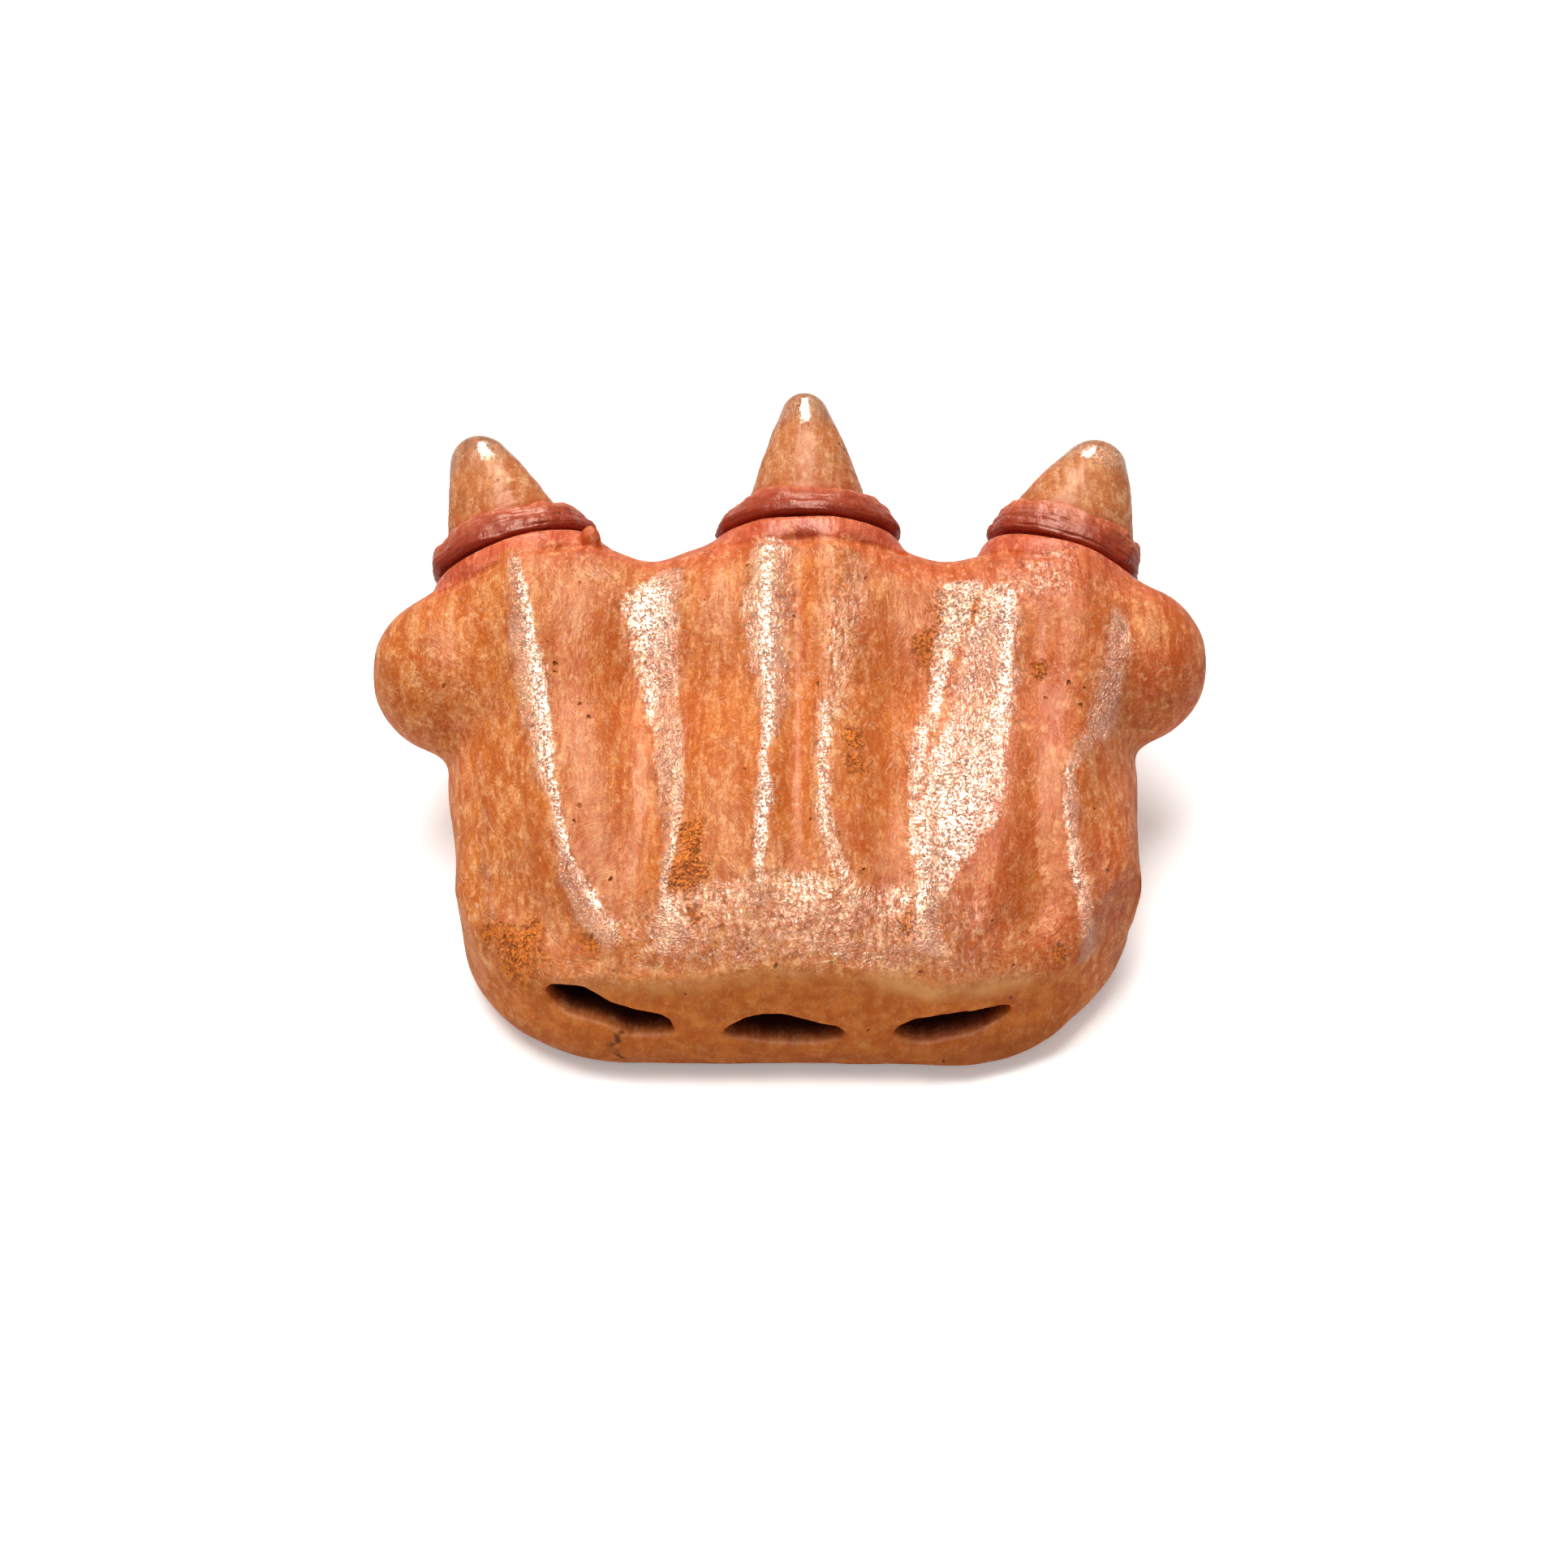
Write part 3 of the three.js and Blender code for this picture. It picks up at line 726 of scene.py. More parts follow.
    def body(self, p: Points) -> Array:
        """Distance to the clay itself.

        Args:
            p: Layout coordinates.

        Returns:
            Millimetres, negative inside.
        """
        d = smooth_cut(self.skin(p), p[2], self.ground_round)
        d = smooth_cut(d, self.room(p), 0.5)
        near = (p[1] < BEAK.back + 2) & (p[2] < 16)
        if near.any():
            q = tuple(axis[near] for axis in p)
            part = d[near]
            for slot in SLOTS:
                part = smooth_cut(part, self.windway(q, slot), self.slot_rim)
            d[near] = part
        d = np.maximum(d, -self.hollow(p))
        return smooth_cut(d, self.openings(p), 0.5)

    def slope(self, p: Points, distance: Form, step: float = 0.05) -> Array:
        """Gradient of a distance at each point, as an array of vectors.

        Args:
            p: Layout coordinates.
            distance: The form.
            step: How far apart it is measured, in millimetres.

        Returns:
            One row for each point.
        """
        found = np.zeros((len(p[0]), 3))
        for axis in range(3):
            ahead, behind = [v.copy() for v in p], [v.copy() for v in p]
            ahead[axis] = ahead[axis] + step
            behind[axis] = behind[axis] - step
            found[:, axis] = (distance(tuple(ahead)) - distance(tuple(behind))) / (2 * step)
        return found


@dataclass
class ClayMesher:
    """Draws a distance form out as a closed mesh of even quads."""

    cell: float = 0.46
    block: int = 8
    low: Triple = (-53.5, -5.5, -1.5)
    high: Triple = (53.5, 68.5, 43.5)
    near_blocks: float = 1.25
    blocks_at_once: int = 1500
    least_slope2: float = 0.25
    settle_steps: int = 3

    def sample(self, distance: Form) -> Array:
        """Distances on the grid, exact near the surface and coarse away from it.

        Args:
            distance: The form.

        Returns:
            A value for each cell.
        """
        wide = self.cell * self.block
        counts = [int(math.ceil((self.high[i] - self.low[i]) / wide)) for i in range(3)]
        centres = [self.low[i] + wide * (np.arange(counts[i]) + 0.5) for i in range(3)]
        grid = np.meshgrid(*centres, indexing="ij")
        rough = distance(tuple(axis.ravel() for axis in grid)).reshape(counts)
        values = np.repeat(np.repeat(np.repeat(rough, self.block, 0), self.block, 1), self.block, 2)
        active = np.argwhere(np.abs(rough) < wide * self.near_blocks)
        steps = np.arange(self.block)
        offsets = np.stack(np.meshgrid(steps, steps, steps, indexing="ij"), -1).reshape(-1, 3)
        for start in range(0, len(active), self.blocks_at_once):
            blocks = active[start:start + self.blocks_at_once, None, :]
            cells = (blocks * self.block + offsets[None]).reshape(-1, 3)
            p = tuple(self.low[i] + self.cell * (cells[:, i] + 0.5) for i in range(3))
            values[cells[:, 0], cells[:, 1], cells[:, 2]] = distance(p)
        return values

    def draw(self, distance: Form, slope: Callable[[Points, Form], Array]) -> tuple[Array, Array]:
        """Meshes the form.

        Args:
            distance: The form.
            slope: Gives the form's gradient at points.

        Returns:
            Vertices in the layout's millimetres, and quads.
        """
        values = self.sample(distance)
        shape = np.array(values.shape)
        strides = np.array((shape[1] * shape[2], shape[2], 1))
        flat = values.ravel()
        edges = []
        for axis in range(3):
            keep = [slice(None)] * 3
            keep[axis] = slice(0, shape[axis] - 1)
            ahead = [slice(None)] * 3
            ahead[axis] = slice(1, shape[axis])
            crossing = np.argwhere((values[tuple(keep)] < 0) != (values[tuple(ahead)] < 0))
            index = crossing @ strides
            a, b = flat[index], flat[index + strides[axis]]
            where = crossing.astype(float)
            where[:, axis] += a / (a - b)
            edges.append((index, where, a < 0))
        cells, places = [], []
        for axis in range(3):
            index, where, _ = edges[axis]
            u, v = (axis + 1) % 3, (axis + 2) % 3
            for back_u in (0, 1):
                for back_v in (0, 1):
                    cells.append(index - back_u * strides[u] - back_v * strides[v])
                    places.append(where)
        used, number = np.unique(np.concatenate(cells), return_inverse=True)
        stacked = np.concatenate(places)
        counts = np.bincount(number, minlength=len(used))
        vertices = np.stack([np.bincount(number, stacked[:, i], len(used)) / counts for i in range(3)], -1)
        vertices = np.array(self.low) + self.cell * (vertices + 0.5)
        quads = []
        for axis in range(3):
            index, _, rises = edges[axis]
            u, v = (axis + 1) % 3, (axis + 2) % 3
            ring = [index - strides[u] - strides[v], index - strides[v], index, index - strides[u]]
            corners = np.searchsorted(used, np.stack(ring, -1))
            corners[~rises] = corners[~rises][:, ::-1]
            quads.append(corners)
        for _ in range(self.settle_steps):
            p = columns(vertices)
            gradient = slope(p, distance)
            length2 = np.maximum((gradient ** 2).sum(1), self.least_slope2)
            shift = gradient * (distance(p) / length2)[:, None]
            vertices = vertices - np.clip(shift, -self.cell / 2, self.cell / 2)
        return vertices, np.concatenate(quads)


# Meshes and objects


def to_frame(vertices: Array) -> Array:
    """Layout millimetres to the frame's metres."""
    return (vertices - np.array((0.0, ORIGIN_Y, 0.0))) * MILLIMETRE


def to_layout(vertices: Array) -> Array:
    """The frame's metres to layout millimetres."""
    return vertices / MILLIMETRE + np.array((0.0, ORIGIN_Y, 0.0))


def columns(vertices: Array) -> Points:
    """A vertex array as one array for each axis."""
    return tuple(vertices[:, axis] for axis in range(3))


def placed(name: str, data: bpy.types.ID) -> Item:
    """Links a new object to the scene.

    Args:
        name: The object's name.
        data: Its mesh, lamp or camera.

    Returns:
        The object, at the origin.
    """
    item = bpy.data.objects.new(name, data)
    bpy.context.scene.collection.objects.link(item)
    return item


def mesh_object(name: str, vertices: Array, faces: Array) -> Item:
    """Makes an object with a mesh of its own.

    Args:
        name: Name of both.
        vertices: Corners, in metres.
        faces: Corner numbers of each face.

    Returns:
        The object, at the origin.
    """
    mesh = bpy.data.meshes.new(name)
    mesh.from_pydata(vertices.tolist(), [], faces.tolist())
    mesh.update()
    return placed(name, mesh)


def coordinates(mesh: Mesh) -> Array:
    """Reads a mesh's vertices.

    Args:
        mesh: The mesh.

    Returns:
        One row for each vertex.
    """
    flat = np.zeros(len(mesh.vertices) * 3)
    mesh.vertices.foreach_get("co", flat)
    return flat.reshape(-1, 3)


def drop(*items: Item) -> None:
    """Removes objects that were only tools."""
    for item in items:
        bpy.data.objects.remove(item)


def dress_in(item: Item, material: Material) -> None:
    """Gives a piece its one material."""
    item.data.materials.clear()
    item.data.materials.append(material)


def applied(item: Item, modifier: bpy.types.Modifier, name: str) -> Mesh:
    """Takes the mesh that a modifier makes, and removes the modifier.

    Args:
        item: The object that carries the modifier.
        modifier: The modifier.
        name: The new mesh's name.

    Returns:
        A plain mesh.
    """
    bpy.context.view_layer.update()
    graph = bpy.context.evaluated_depsgraph_get()
    mesh = bpy.data.meshes.new_from_object(item.evaluated_get(graph))
    item.modifiers.remove(modifier)
    mesh.name = name
    return mesh


def outward(mesh: Mesh) -> None:
    """Turns a closed mesh's faces outwards.

    Args:
        mesh: The mesh, changed in place.
    """
    shape = bmesh.new()
    shape.from_mesh(mesh)
    bmesh.ops.recalc_face_normals(shape, faces=shape.faces)
    if shape.calc_volume(signed=True) < 0:
        bmesh.ops.reverse_faces(shape, faces=shape.faces)
    shape.to_mesh(mesh)
    shape.free()
    mesh.update()


def box_tool(low: Sequence[float], high: Sequence[float], slope_share: float = 0.0) -> Item:
    """Makes a block tool.

    Args:
        low: Its low corner, in layout millimetres.
        high: Its high corner.
        slope_share: How far it rises for each millimetre along +Y.

    Returns:
        The tool.
    """
    corners = np.array([[(low, high)[(i >> k) & 1][k] for k in range(3)] for i in range(8)], float)
    corners[:, 2] += slope_share * corners[:, 1]
    faces = np.array([(0, 4, 6, 2), (1, 3, 7, 5), (0, 1, 5, 4), (2, 6, 7, 3), (0, 2, 3, 1), (4, 5, 7, 6)])
    item = mesh_object("tool", to_frame(corners), faces)
    outward(item.data)
    return item


def turned_tool(toe: Toe, profile: Rule, segments: int = 96) -> Item:
    """Makes a closed turned tool on a toe's axis.

    Args:
        toe: The toe whose axis it is turned about.
        profile: (radius, place along the axis) points in millimetres, the first and last on the axis.
        segments: Steps round.

    Returns:
        The tool, placed in the frame.
    """
    tool = bmesh.new()
    angles = [2 * math.pi * k / segments for k in range(segments)]
    rings = []
    for radius, along in profile:
        if radius == 0:
            rings.append([tool.verts.new((0, along * MILLIMETRE, 0))] * segments)
            continue
        spots = [(radius * math.cos(a), along, radius * math.sin(a)) for a in angles]
        rings.append([tool.verts.new(tuple(value * MILLIMETRE for value in spot)) for spot in spots])
    for lower, upper in zip(rings, rings[1:]):
        for k in range(segments):
            corners = [lower[k], lower[(k + 1) % segments], upper[(k + 1) % segments], upper[k]]
            tool.faces.new(list(dict.fromkeys(corners)))
    tool.transform(toe.placing)
    bmesh.ops.recalc_face_normals(tool, faces=tool.faces)
    mesh = bpy.data.meshes.new("tool")
    tool.to_mesh(mesh)
    tool.free()
    return placed("tool", mesh)


def carved(name: str, blank: Item, tool: Item, operation: str) -> Item:
    """Makes a new object from a blank and a tool, and leaves both as they are.

    Args:
        name: The new object's name.
        blank: What is carved.
        tool: What it is cut by or limited to.
        operation: The boolean operation.

    Returns:
        The carved object.
    """
    modifier = blank.modifiers.new("carve", "BOOLEAN")
    modifier.operation = operation
    modifier.solver = "MANIFOLD"
    modifier.object = tool
    return placed(name, applied(blank, modifier, name))


def declare(item: Item, node: str) -> None:
    """Makes a piece ride on the body, and reports it.

    Args:
        item: The piece.
        node: The CAD node that it stands for.
    """
    item.name = f"{node}_clay"
    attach(item, BODY)
    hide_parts(node)
    LOG.info("piece %s: %d faces", item.name, len(item.data.polygons))


# Shader and geometry graphs


class Graph:
    """Lays nodes into one tree and wires them."""

    def __init__(self, tree: Tree) -> None:
        """Starts on a tree that the caller has cleared where needed."""
        self.tree = tree

    def add(self, kind: str, inputs: dict | None = None, **settings: object) -> Node:
        """Adds a node.

        Args:
            kind: The node's type name.
            inputs: Input names or numbers, each with a value or the socket that feeds it.
            **settings: Attributes of the node.

        Returns:
            The node.
        """
        node = self.tree.nodes.new(kind)
        for key, value in settings.items():
            setattr(node, key, value)
        for key, value in (inputs or {}).items():
            self.feed(node.inputs[key], value)
        return node

    def feed(self, target: Socket, value: object) -> None:
        """Links a socket to another, or sets its value.

        Args:
            target: The input to feed.
            value: A socket, or a plain value. A colour may come without its alpha.
        """
        if isinstance(value, Socket):
            self.tree.links.new(value, target)
        elif hasattr(target, "default_value"):
            is_colour = target.type == "RGBA" and len(value) == 3
            target.default_value = (*value, 1.0) if is_colour else value

    def math(self, operation: str, a: object, b: object = 0.0, clamp: bool = False) -> Socket:
        """Result of a Math node."""
        return self.add("ShaderNodeMath", {0: a, 1: b}, operation=operation, use_clamp=clamp).outputs[0]

    def plus(self, a: object, b: object) -> Socket:
        """Sum of two values."""
        return self.math("ADD", a, b)

    def minus(self, a: object, b: object, clamp: bool = False) -> Socket:
        """First value less the second."""
        return self.math("SUBTRACT", a, b, clamp)

    def times(self, a: object, b: object) -> Socket:
        """Product of two values."""
        return self.math("MULTIPLY", a, b)

    def most(self, a: object, b: object) -> Socket:
        """The larger of two values."""
        return self.math("MAXIMUM", a, b)

    def least(self, a: object, b: object) -> Socket:
        """The smaller of two values."""
        return self.math("MINIMUM", a, b)

    def stretched(self, where: object, scale: Sequence[float]) -> Socket:
        """Coordinates multiplied axis by axis."""
        return self.add("ShaderNodeVectorMath", {0: where, 1: scale}, operation="MULTIPLY").outputs[0]

    def noise(self, where: object, scale: float, detail: float = 2.0, roughness: float = 0.5,
              distortion: float = 0.0, seed: object = None) -> Socket:
        """Adds a Noise Texture.

        Args:
            where: Its coordinates.
            scale: How fine it is.
            detail: Octaves.
            roughness: Share that each octave keeps.
            distortion: How far it is warped.
            seed: Value that picks one of many noises, or None.

        Returns:
            Its value.
        """
        inputs = {"Vector": where, "Scale": scale, "Detail": detail, "Roughness": roughness, "Distortion": distortion}
        if seed is None:
            return self.add("ShaderNodeTexNoise", inputs).outputs[0]
        return self.add("ShaderNodeTexNoise", {"W": seed, **inputs}, noise_dimensions="4D").outputs[0]


class ShaderGraph(Graph):
    """A graph of shader nodes."""

    @classmethod
    def of(cls, owner: Material | bpy.types.World) -> ShaderGraph:
        """Starts on the emptied node tree of a material or world.

        Args:
            owner: The material or world.

        Returns:
            The graph.
        """
        owner.use_nodes = True
        owner.node_tree.nodes.clear()
        return cls(owner.node_tree)

    def blend(self, factor: object, a: object, b: object) -> Socket:
        """Mixes two colours.

        Args:
            factor: Share of the second colour.
            a: First colour.
            b: Second colour.

        Returns:
            The mixed colour.
        """
        node = self.add("ShaderNodeMix", data_type="RGBA")
        for index, value in ((0, factor), (6, a), (7, b)):
            self.feed(node.inputs[index], value)
        return node.outputs[2]

    def band(self, value: object, low: float, high: float, to: tuple[float, float] = (0.0, 1.0)) -> Socket:
        """Value eased from low to high into the range to."""
        return self.add("ShaderNodeMapRange", {0: value, 1: low, 2: high, 3: to[0], 4: to[1]},
                        interpolation_type="SMOOTHSTEP").outputs[0]

    def attribute(self, name: str) -> Socket:
        """A mask stored on the piece's vertices."""
        return self.add("ShaderNodeAttribute", attribute_name=name).outputs["Fac"]


class Mask(Enum):
    """Masks that a piece's vertices carry. Claws and folds have only VALLEY and RUBBED."""

    # Painted shade: dark bands between the back's glossy streaks, low on the folds and at the claws' roots.
    VALLEY = "valley"
    RED = "red"
    MOUTH = "mouth"
    # Painted shade inside the flute, low on the lip and under the side pads.
    SOOT = "soot"
    CRUMBLE = "crumble"
    CRACK = "crack"
    WEAR = "wear"
    # Gloss of the streaks and claw tips, with a pale painted highlight.
    RUBBED = "rubbed"


class SharedNodes:
    """Effects that more than one finish uses, each built once as a node group."""

    def __init__(self) -> None:
        """Builds every group."""
        self.trees = (self._strokes(), self._mottle(), self._pits())

    @staticmethod
    def _group(name: str, inputs: dict[str, float], outputs: Iterable[str]) -> tuple[ShaderGraph, Sockets, Sockets]:
        """Starts an empty group.

        Args:
            name: The group's name.
            inputs: Value inputs beside Position, with their defaults.
            outputs: Names of its value outputs.

        Returns:
            Its graph, the sockets that bring its inputs, and the sockets that take its outputs.
        """
        tree = bpy.data.node_groups.new(name, "ShaderNodeTree")
        tree.interface.new_socket("Position", in_out="INPUT", socket_type="NodeSocketVector")
        for key, value in inputs.items():
            socket = tree.interface.new_socket(key, in_out="INPUT", socket_type="NodeSocketFloat")
            socket.default_value = value
        for key in outputs:
            tree.interface.new_socket(key, in_out="OUTPUT", socket_type="NodeSocketFloat")
        g = ShaderGraph(tree)
        return g, g.add("NodeGroupInput").outputs, g.add("NodeGroupOutput").inputs

    def _strokes(self) -> Tree:
        """Fine burnishing strokes, short and crossed, that wander over the clay; the pale tint of their hair strokes
        is painted glint.

        Returns:
            The group's tree.
        """
        g, given, out = self._group("burnish_strokes", {"Density": 1.0}, ("Height", "Hair Glints", "Drag"))
        scaled = g.add("ShaderNodeVectorMath", {0: given["Position"], "Scale": given["Density"]},
                       operation="SCALE").outputs[0]
        angle = g.times(g.minus(g.noise(scaled, 0.09, 1.0), 0.5), 2.6)
        layers = []
        for turn, stretch in ((0.1, (3.4, 0.85, 2.6)), (0.55, (5.4, 1.0, 4.0)), (-0.5, (4.6, 0.8, 3.4))):
            bent = g.add("ShaderNodeVectorRotate", {"Vector": scaled, "Angle": g.plus(angle, turn)},
                         rotation_type="Z_AXIS").outputs[0]
            layers.append(g.noise(g.stretched(bent, stretch), 1.0))
        glint_hairs = g.most(g.band(layers[1], 0.59, 0.7), g.band(layers[2], 0.61, 0.72))
        glint_hairs = g.times(glint_hairs, g.band(g.noise(scaled, 0.5), 0.4, 0.62, (0.25, 1.0)))
        height = g.plus(g.times(layers[0], 0.6), g.times(layers[1], 0.25))
        g.feed(out["Height"], g.plus(height, g.times(glint_hairs, 0.25)))
        g.feed(out["Hair Glints"], glint_hairs)
        g.feed(out["Drag"], g.noise(g.stretched(scaled, (1.3, 0.13, 0.7)), 1.0, 4.0, 0.65, 0.5))
        return g.tree

    def _mottle(self) -> Tree:
        """Cloudy tone of hand-mixed clay: large clouds, small blotches, sand and fine grain.

        Returns:
            The group's tree.
        """
        g, given, out = self._group("clay_mottle", {}, ("Clouds", "Blotches", "Grain", "Sand"))
        where = given["Position"]
        blotches = g.noise(g.stretched(where, (1.0, 0.45, 1.0)), 0.42, 4.0, 0.6, 0.5)
        g.feed(out["Clouds"], g.band(g.noise(where, 0.07, 3.0, 0.55, 0.6), 0.35, 0.65))
        g.feed(out["Blotches"], g.band(blotches, 0.38, 0.66))
        g.feed(out["Grain"], g.noise(where, 3.2, 3.0, 0.6))
        g.feed(out["Sand"], g.noise(g.stretched(where, (1.0, 0.6, 1.0)), 1.1, 3.0, 0.6, 0.3))
        return g.tree

    def _pits(self) -> Tree:
        """Small pits and hair cracks, which gather where the Crumble input rises.

        Returns:
            The group's tree.
        """
        g, given, out = self._group("pits_and_cracks", {"Crumble": 0.0}, ("Depth", "Dark"))
        where, crumble = given["Position"], given["Crumble"]
        warp = g.add("ShaderNodeTexNoise", {"Vector": where, "Scale": 0.9, "Detail": 2.0}).outputs["Color"]
        bent = g.add("ShaderNodeVectorMath", {0: where, 1: warp}, operation="ADD").outputs[0]
        winding = g.math("ABSOLUTE", g.minus(g.noise(g.stretched(bent, (0.9, 1.2, 0.9)), 0.8, 4.0, 0.7, 0.4), 0.5))
        crack = g.times(g.band(winding, 0.004, 0.03, (1.0, 0.0)), g.band(g.noise(where, 0.9), 0.4, 0.6))
        rough = g.times(g.most(crack, g.band(g.noise(where, 2.6, 3.0, 0.7), 0.5, 0.75)), crumble)
        dots = g.add("ShaderNodeTexVoronoi", {"Vector": bent, "Scale": 0.42, "Randomness": 1.0}).outputs["Distance"]
        pit = g.times(g.band(dots, 0.03, 0.12, (1.0, 0.0)), g.band(g.noise(where, 0.23, 1.0), 0.5, 0.62))
        g.feed(out["Depth"], g.most(rough, pit))
        g.feed(out["Dark"], g.most(g.times(crack, crumble), g.times(pit, 0.7)))
        return g.tree


WORN = (0.86, 0.42, 0.15)
BARE_DARK = (0.60, 0.10, 0.006)
BARE_PALE = (0.88, 0.24, 0.02)
PIT_SHADE = (0.22, 0.022, 0.005)
CRACK_SHADE = (0.05, 0.014, 0.007)
# Colour of the painted shade inside the flute, low on the lip and under the pads.
UNDER_SHADE_TONE = (0.085, 0.022, 0.011)


@dataclass
class ClaySockets:
    """What the layers of a finish draw on.

    Args:
        where: Coordinates in millimetres.
        marks: Outputs of the shared groups, by name.
        masks: Masks of the piece's vertices.
        open_skin: Where the mouth face isn't.
        rubbed: The glossy streaks with their painted highlight, broken up by fine noise.
    """

    where: Socket
    marks: Sockets
    masks: dict[Mask, Socket]
    open_skin: Socket
    rubbed: Socket


@dataclass(frozen=True)
class ClayFinish:
    """Fired clay, from the burnished skin of the paw to the glossy claws.

    Colours are linear. The masks of Mask drive where red slip, crumbled patches, painted highlight and painted shade
    lie.
    """

    name: str
    pale: Colour
    body: Colour
    deep: Colour
    red: Colour
    dark_red: Colour
    roughness: float
    stroke_depth: float
    lump_depth: float
    coat: float = 0.0
    coat_roughness: float = 0.2
    red_share: float = 0.0
    stroke_density: float = 0.75
    sheen: float = 0.8
    glint_share: float = 0.6
    streakiness: float = 1.0
    rubbed_depth: float = 0.09
    drag_depth: float = 0.12
    pit_depth: float = 0.45
    crack_depth: float = 0.3
    # Pale tint of the hair strokes, a painted glint.
    glint_tone: Colour = (0.86, 0.50, 0.30)
    # How far the painted shade turns the colour towards shade.
    painted_shade_share: float = 0.3
    shade: Colour = (0.46, 0.09, 0.012)
    # Share of the pale tint on the glossy streaks: painted highlight.
    highlight_share: float = 0.1
    highlight_tone: Colour = (0.88, 0.46, 0.27)
    rubbed_smooth: float = 0.06
    rubbed_coat: float = 0.0
    rubbed_sheen: float = 1.0
    mouth: Colour = (0.60, 0.165, 0.022)
    mouth_dark: Colour = (0.45, 0.105, 0.012)
    index: float = 1.5

    def make(self, shared: SharedNodes) -> Material:
        """Builds the material.

        Args:
            shared: The node groups it places.

        Returns:
            The material.
        """
        material = bpy.data.materials.new(self.name)
        g = ShaderGraph.of(material)
        clay = self._sockets(g, shared)
        bump = g.add("ShaderNodeBump", {"Strength": 1.0, "Distance": MILLIMETRE, "Height": self._relief(g, clay)})
        shader = g.add("ShaderNodeBsdfPrincipled", {
            "Base Color": self._colour(g, clay), "Roughness": self._roughness(g, clay), "Normal": bump.outputs[0],
            "IOR": self.index, "Coat Roughness": self.coat_roughness,
            "Specular IOR Level": g.band(clay.rubbed, 0.0, 1.0, (self.sheen, self.rubbed_sheen)),
            "Coat Weight": g.band(clay.rubbed, 0.0, 1.0, (self.coat, self.rubbed_coat))})
        g.feed(g.add("ShaderNodeOutputMaterial").inputs[0], shader.outputs[0])
        return material

    def _sockets(self, g: ShaderGraph, shared: SharedNodes) -> ClaySockets:
        """Places the shared groups and reads the masks.

        Args:
            g: The material's graph.
            shared: The node groups.

        Returns:
            The sockets that the layers draw on.
        """
        place = g.add("ShaderNodeTexCoord").outputs["Object"]
        where = g.add("ShaderNodeMapping", {"Vector": place, "Scale": (1 / MILLIMETRE,) * 3}).outputs[0]
        masks = {mask: g.attribute(mask.value) for mask in Mask}
        streak_mask = masks[Mask.RUBBED]
        given = {"Position": where, "Density": self.stroke_density,
                 "Crumble": g.most(masks[Mask.CRUMBLE], g.times(streak_mask, 0.4))}
        marks = {}
        for tree in shared.trees:
            node = g.add("ShaderNodeGroup", node_tree=tree)
            for socket in node.inputs:
                g.feed(socket, given[socket.name])
            marks.update({socket.name: socket for socket in node.outputs})
        broken = g.times(g.minus(g.noise(g.stretched(where, (1.9, 0.6, 1.2)), 1.0, 4.0, 0.7), 0.5), 1.8)
        rubbed = g.times(g.band(g.plus(streak_mask, broken), 0.1, 1.0), g.band(streak_mask, 0.0, 0.6))
        return ClaySockets(where, marks, masks, g.minus(1.0, masks[Mask.MOUTH], True), rubbed)

    def _colour(self, g: ShaderGraph, clay: ClaySockets) -> Socket:
        """Lays the colours over one another, from the clay itself to the painted highlight of the glossy streaks.

        Args:
            g: The material's graph.
            clay: Its sockets.

        Returns:
            The colour.
        """
        drag, sand, blotches, grain = (clay.marks[name] for name in ("Drag", "Sand", "Blotches", "Grain"))
        masks, streaky = clay.masks, self.streakiness
        cloud = g.times(g.minus(clay.marks["Clouds"], 0.5), 0.45)
        red = g.band(g.plus(g.plus(masks[Mask.RED], self.red_share), cloud), 0.1, 1.1)
        bare = g.blend(g.band(grain, 0.35, 0.6), BARE_DARK, BARE_PALE)
        glint_hairs = g.times(clay.marks["Hair Glints"], g.times(clay.open_skin, self.glint_share))
        layers = (
            (g.band(drag, 0.5, 0.34, (0.0, 0.35 * streaky)), self.deep),
            (g.band(drag, 0.46, 0.64, (0.0, 0.6 * streaky)), self.pale),
            (g.times(red, 0.85), g.blend(g.band(drag, 0.36, 0.62), self.dark_red, self.red)),
            (g.times(g.minus(1.0, g.band(grain, 0.38, 0.66)), 0.6), self.deep),
            (g.band(sand, 0.5, 0.36, (0.0, 0.5 * streaky)), self.deep),
            (g.band(sand, 0.56, 0.68, (0.0, 0.5 * streaky)), self.pale),
            # pale hair strokes: painted glints
            (glint_hairs, self.glint_tone),
            # painted shade
            (g.times(masks[Mask.VALLEY], self.painted_shade_share), self.shade),
            (g.times(masks[Mask.MOUTH], 0.7), g.blend(blotches, self.mouth_dark, self.mouth)),
            (g.times(masks[Mask.WEAR], 0.6), WORN),
            (g.times(masks[Mask.CRUMBLE], 0.9), bare),
            (g.times(clay.marks["Dark"], 0.85), PIT_SHADE),
            (g.times(masks[Mask.CRACK], 0.85), CRACK_SHADE),
            # painted shade inside, low on the lip and under the pads
            (masks[Mask.SOOT], UNDER_SHADE_TONE),
            # painted highlight along the glossy streaks
            (g.times(clay.rubbed, self.highlight_share), self.highlight_tone),
        )
        colour = g.blend(g.band(blotches, 0.0, 1.0, (0.45, 1.0)), self.deep, self.body)
        for amount, tone in layers:
            colour = g.blend(amount, colour, tone)
        return colour

    def _roughness(self, g: ShaderGraph, clay: ClaySockets) -> Socket:
        """Works out the gloss: smoother on streaks and hair strokes, rougher on crumbled clay and the mouth.

        Args:
            g: The material's graph.
            clay: Its sockets.

        Returns:
            The roughness.
        """
        rough = g.band(clay.marks["Grain"], 0.3, 0.7, (self.roughness - 0.05, self.roughness + 0.09))
        rough = g.minus(rough, g.times(clay.rubbed, self.rubbed_smooth))
        rough = g.plus(rough, g.times(clay.masks[Mask.CRUMBLE], 0.3))
        rough = g.plus(rough, g.times(clay.masks[Mask.MOUTH], 0.16))
        return g.minus(rough, g.times(clay.marks["Hair Glints"], 0.08), True)

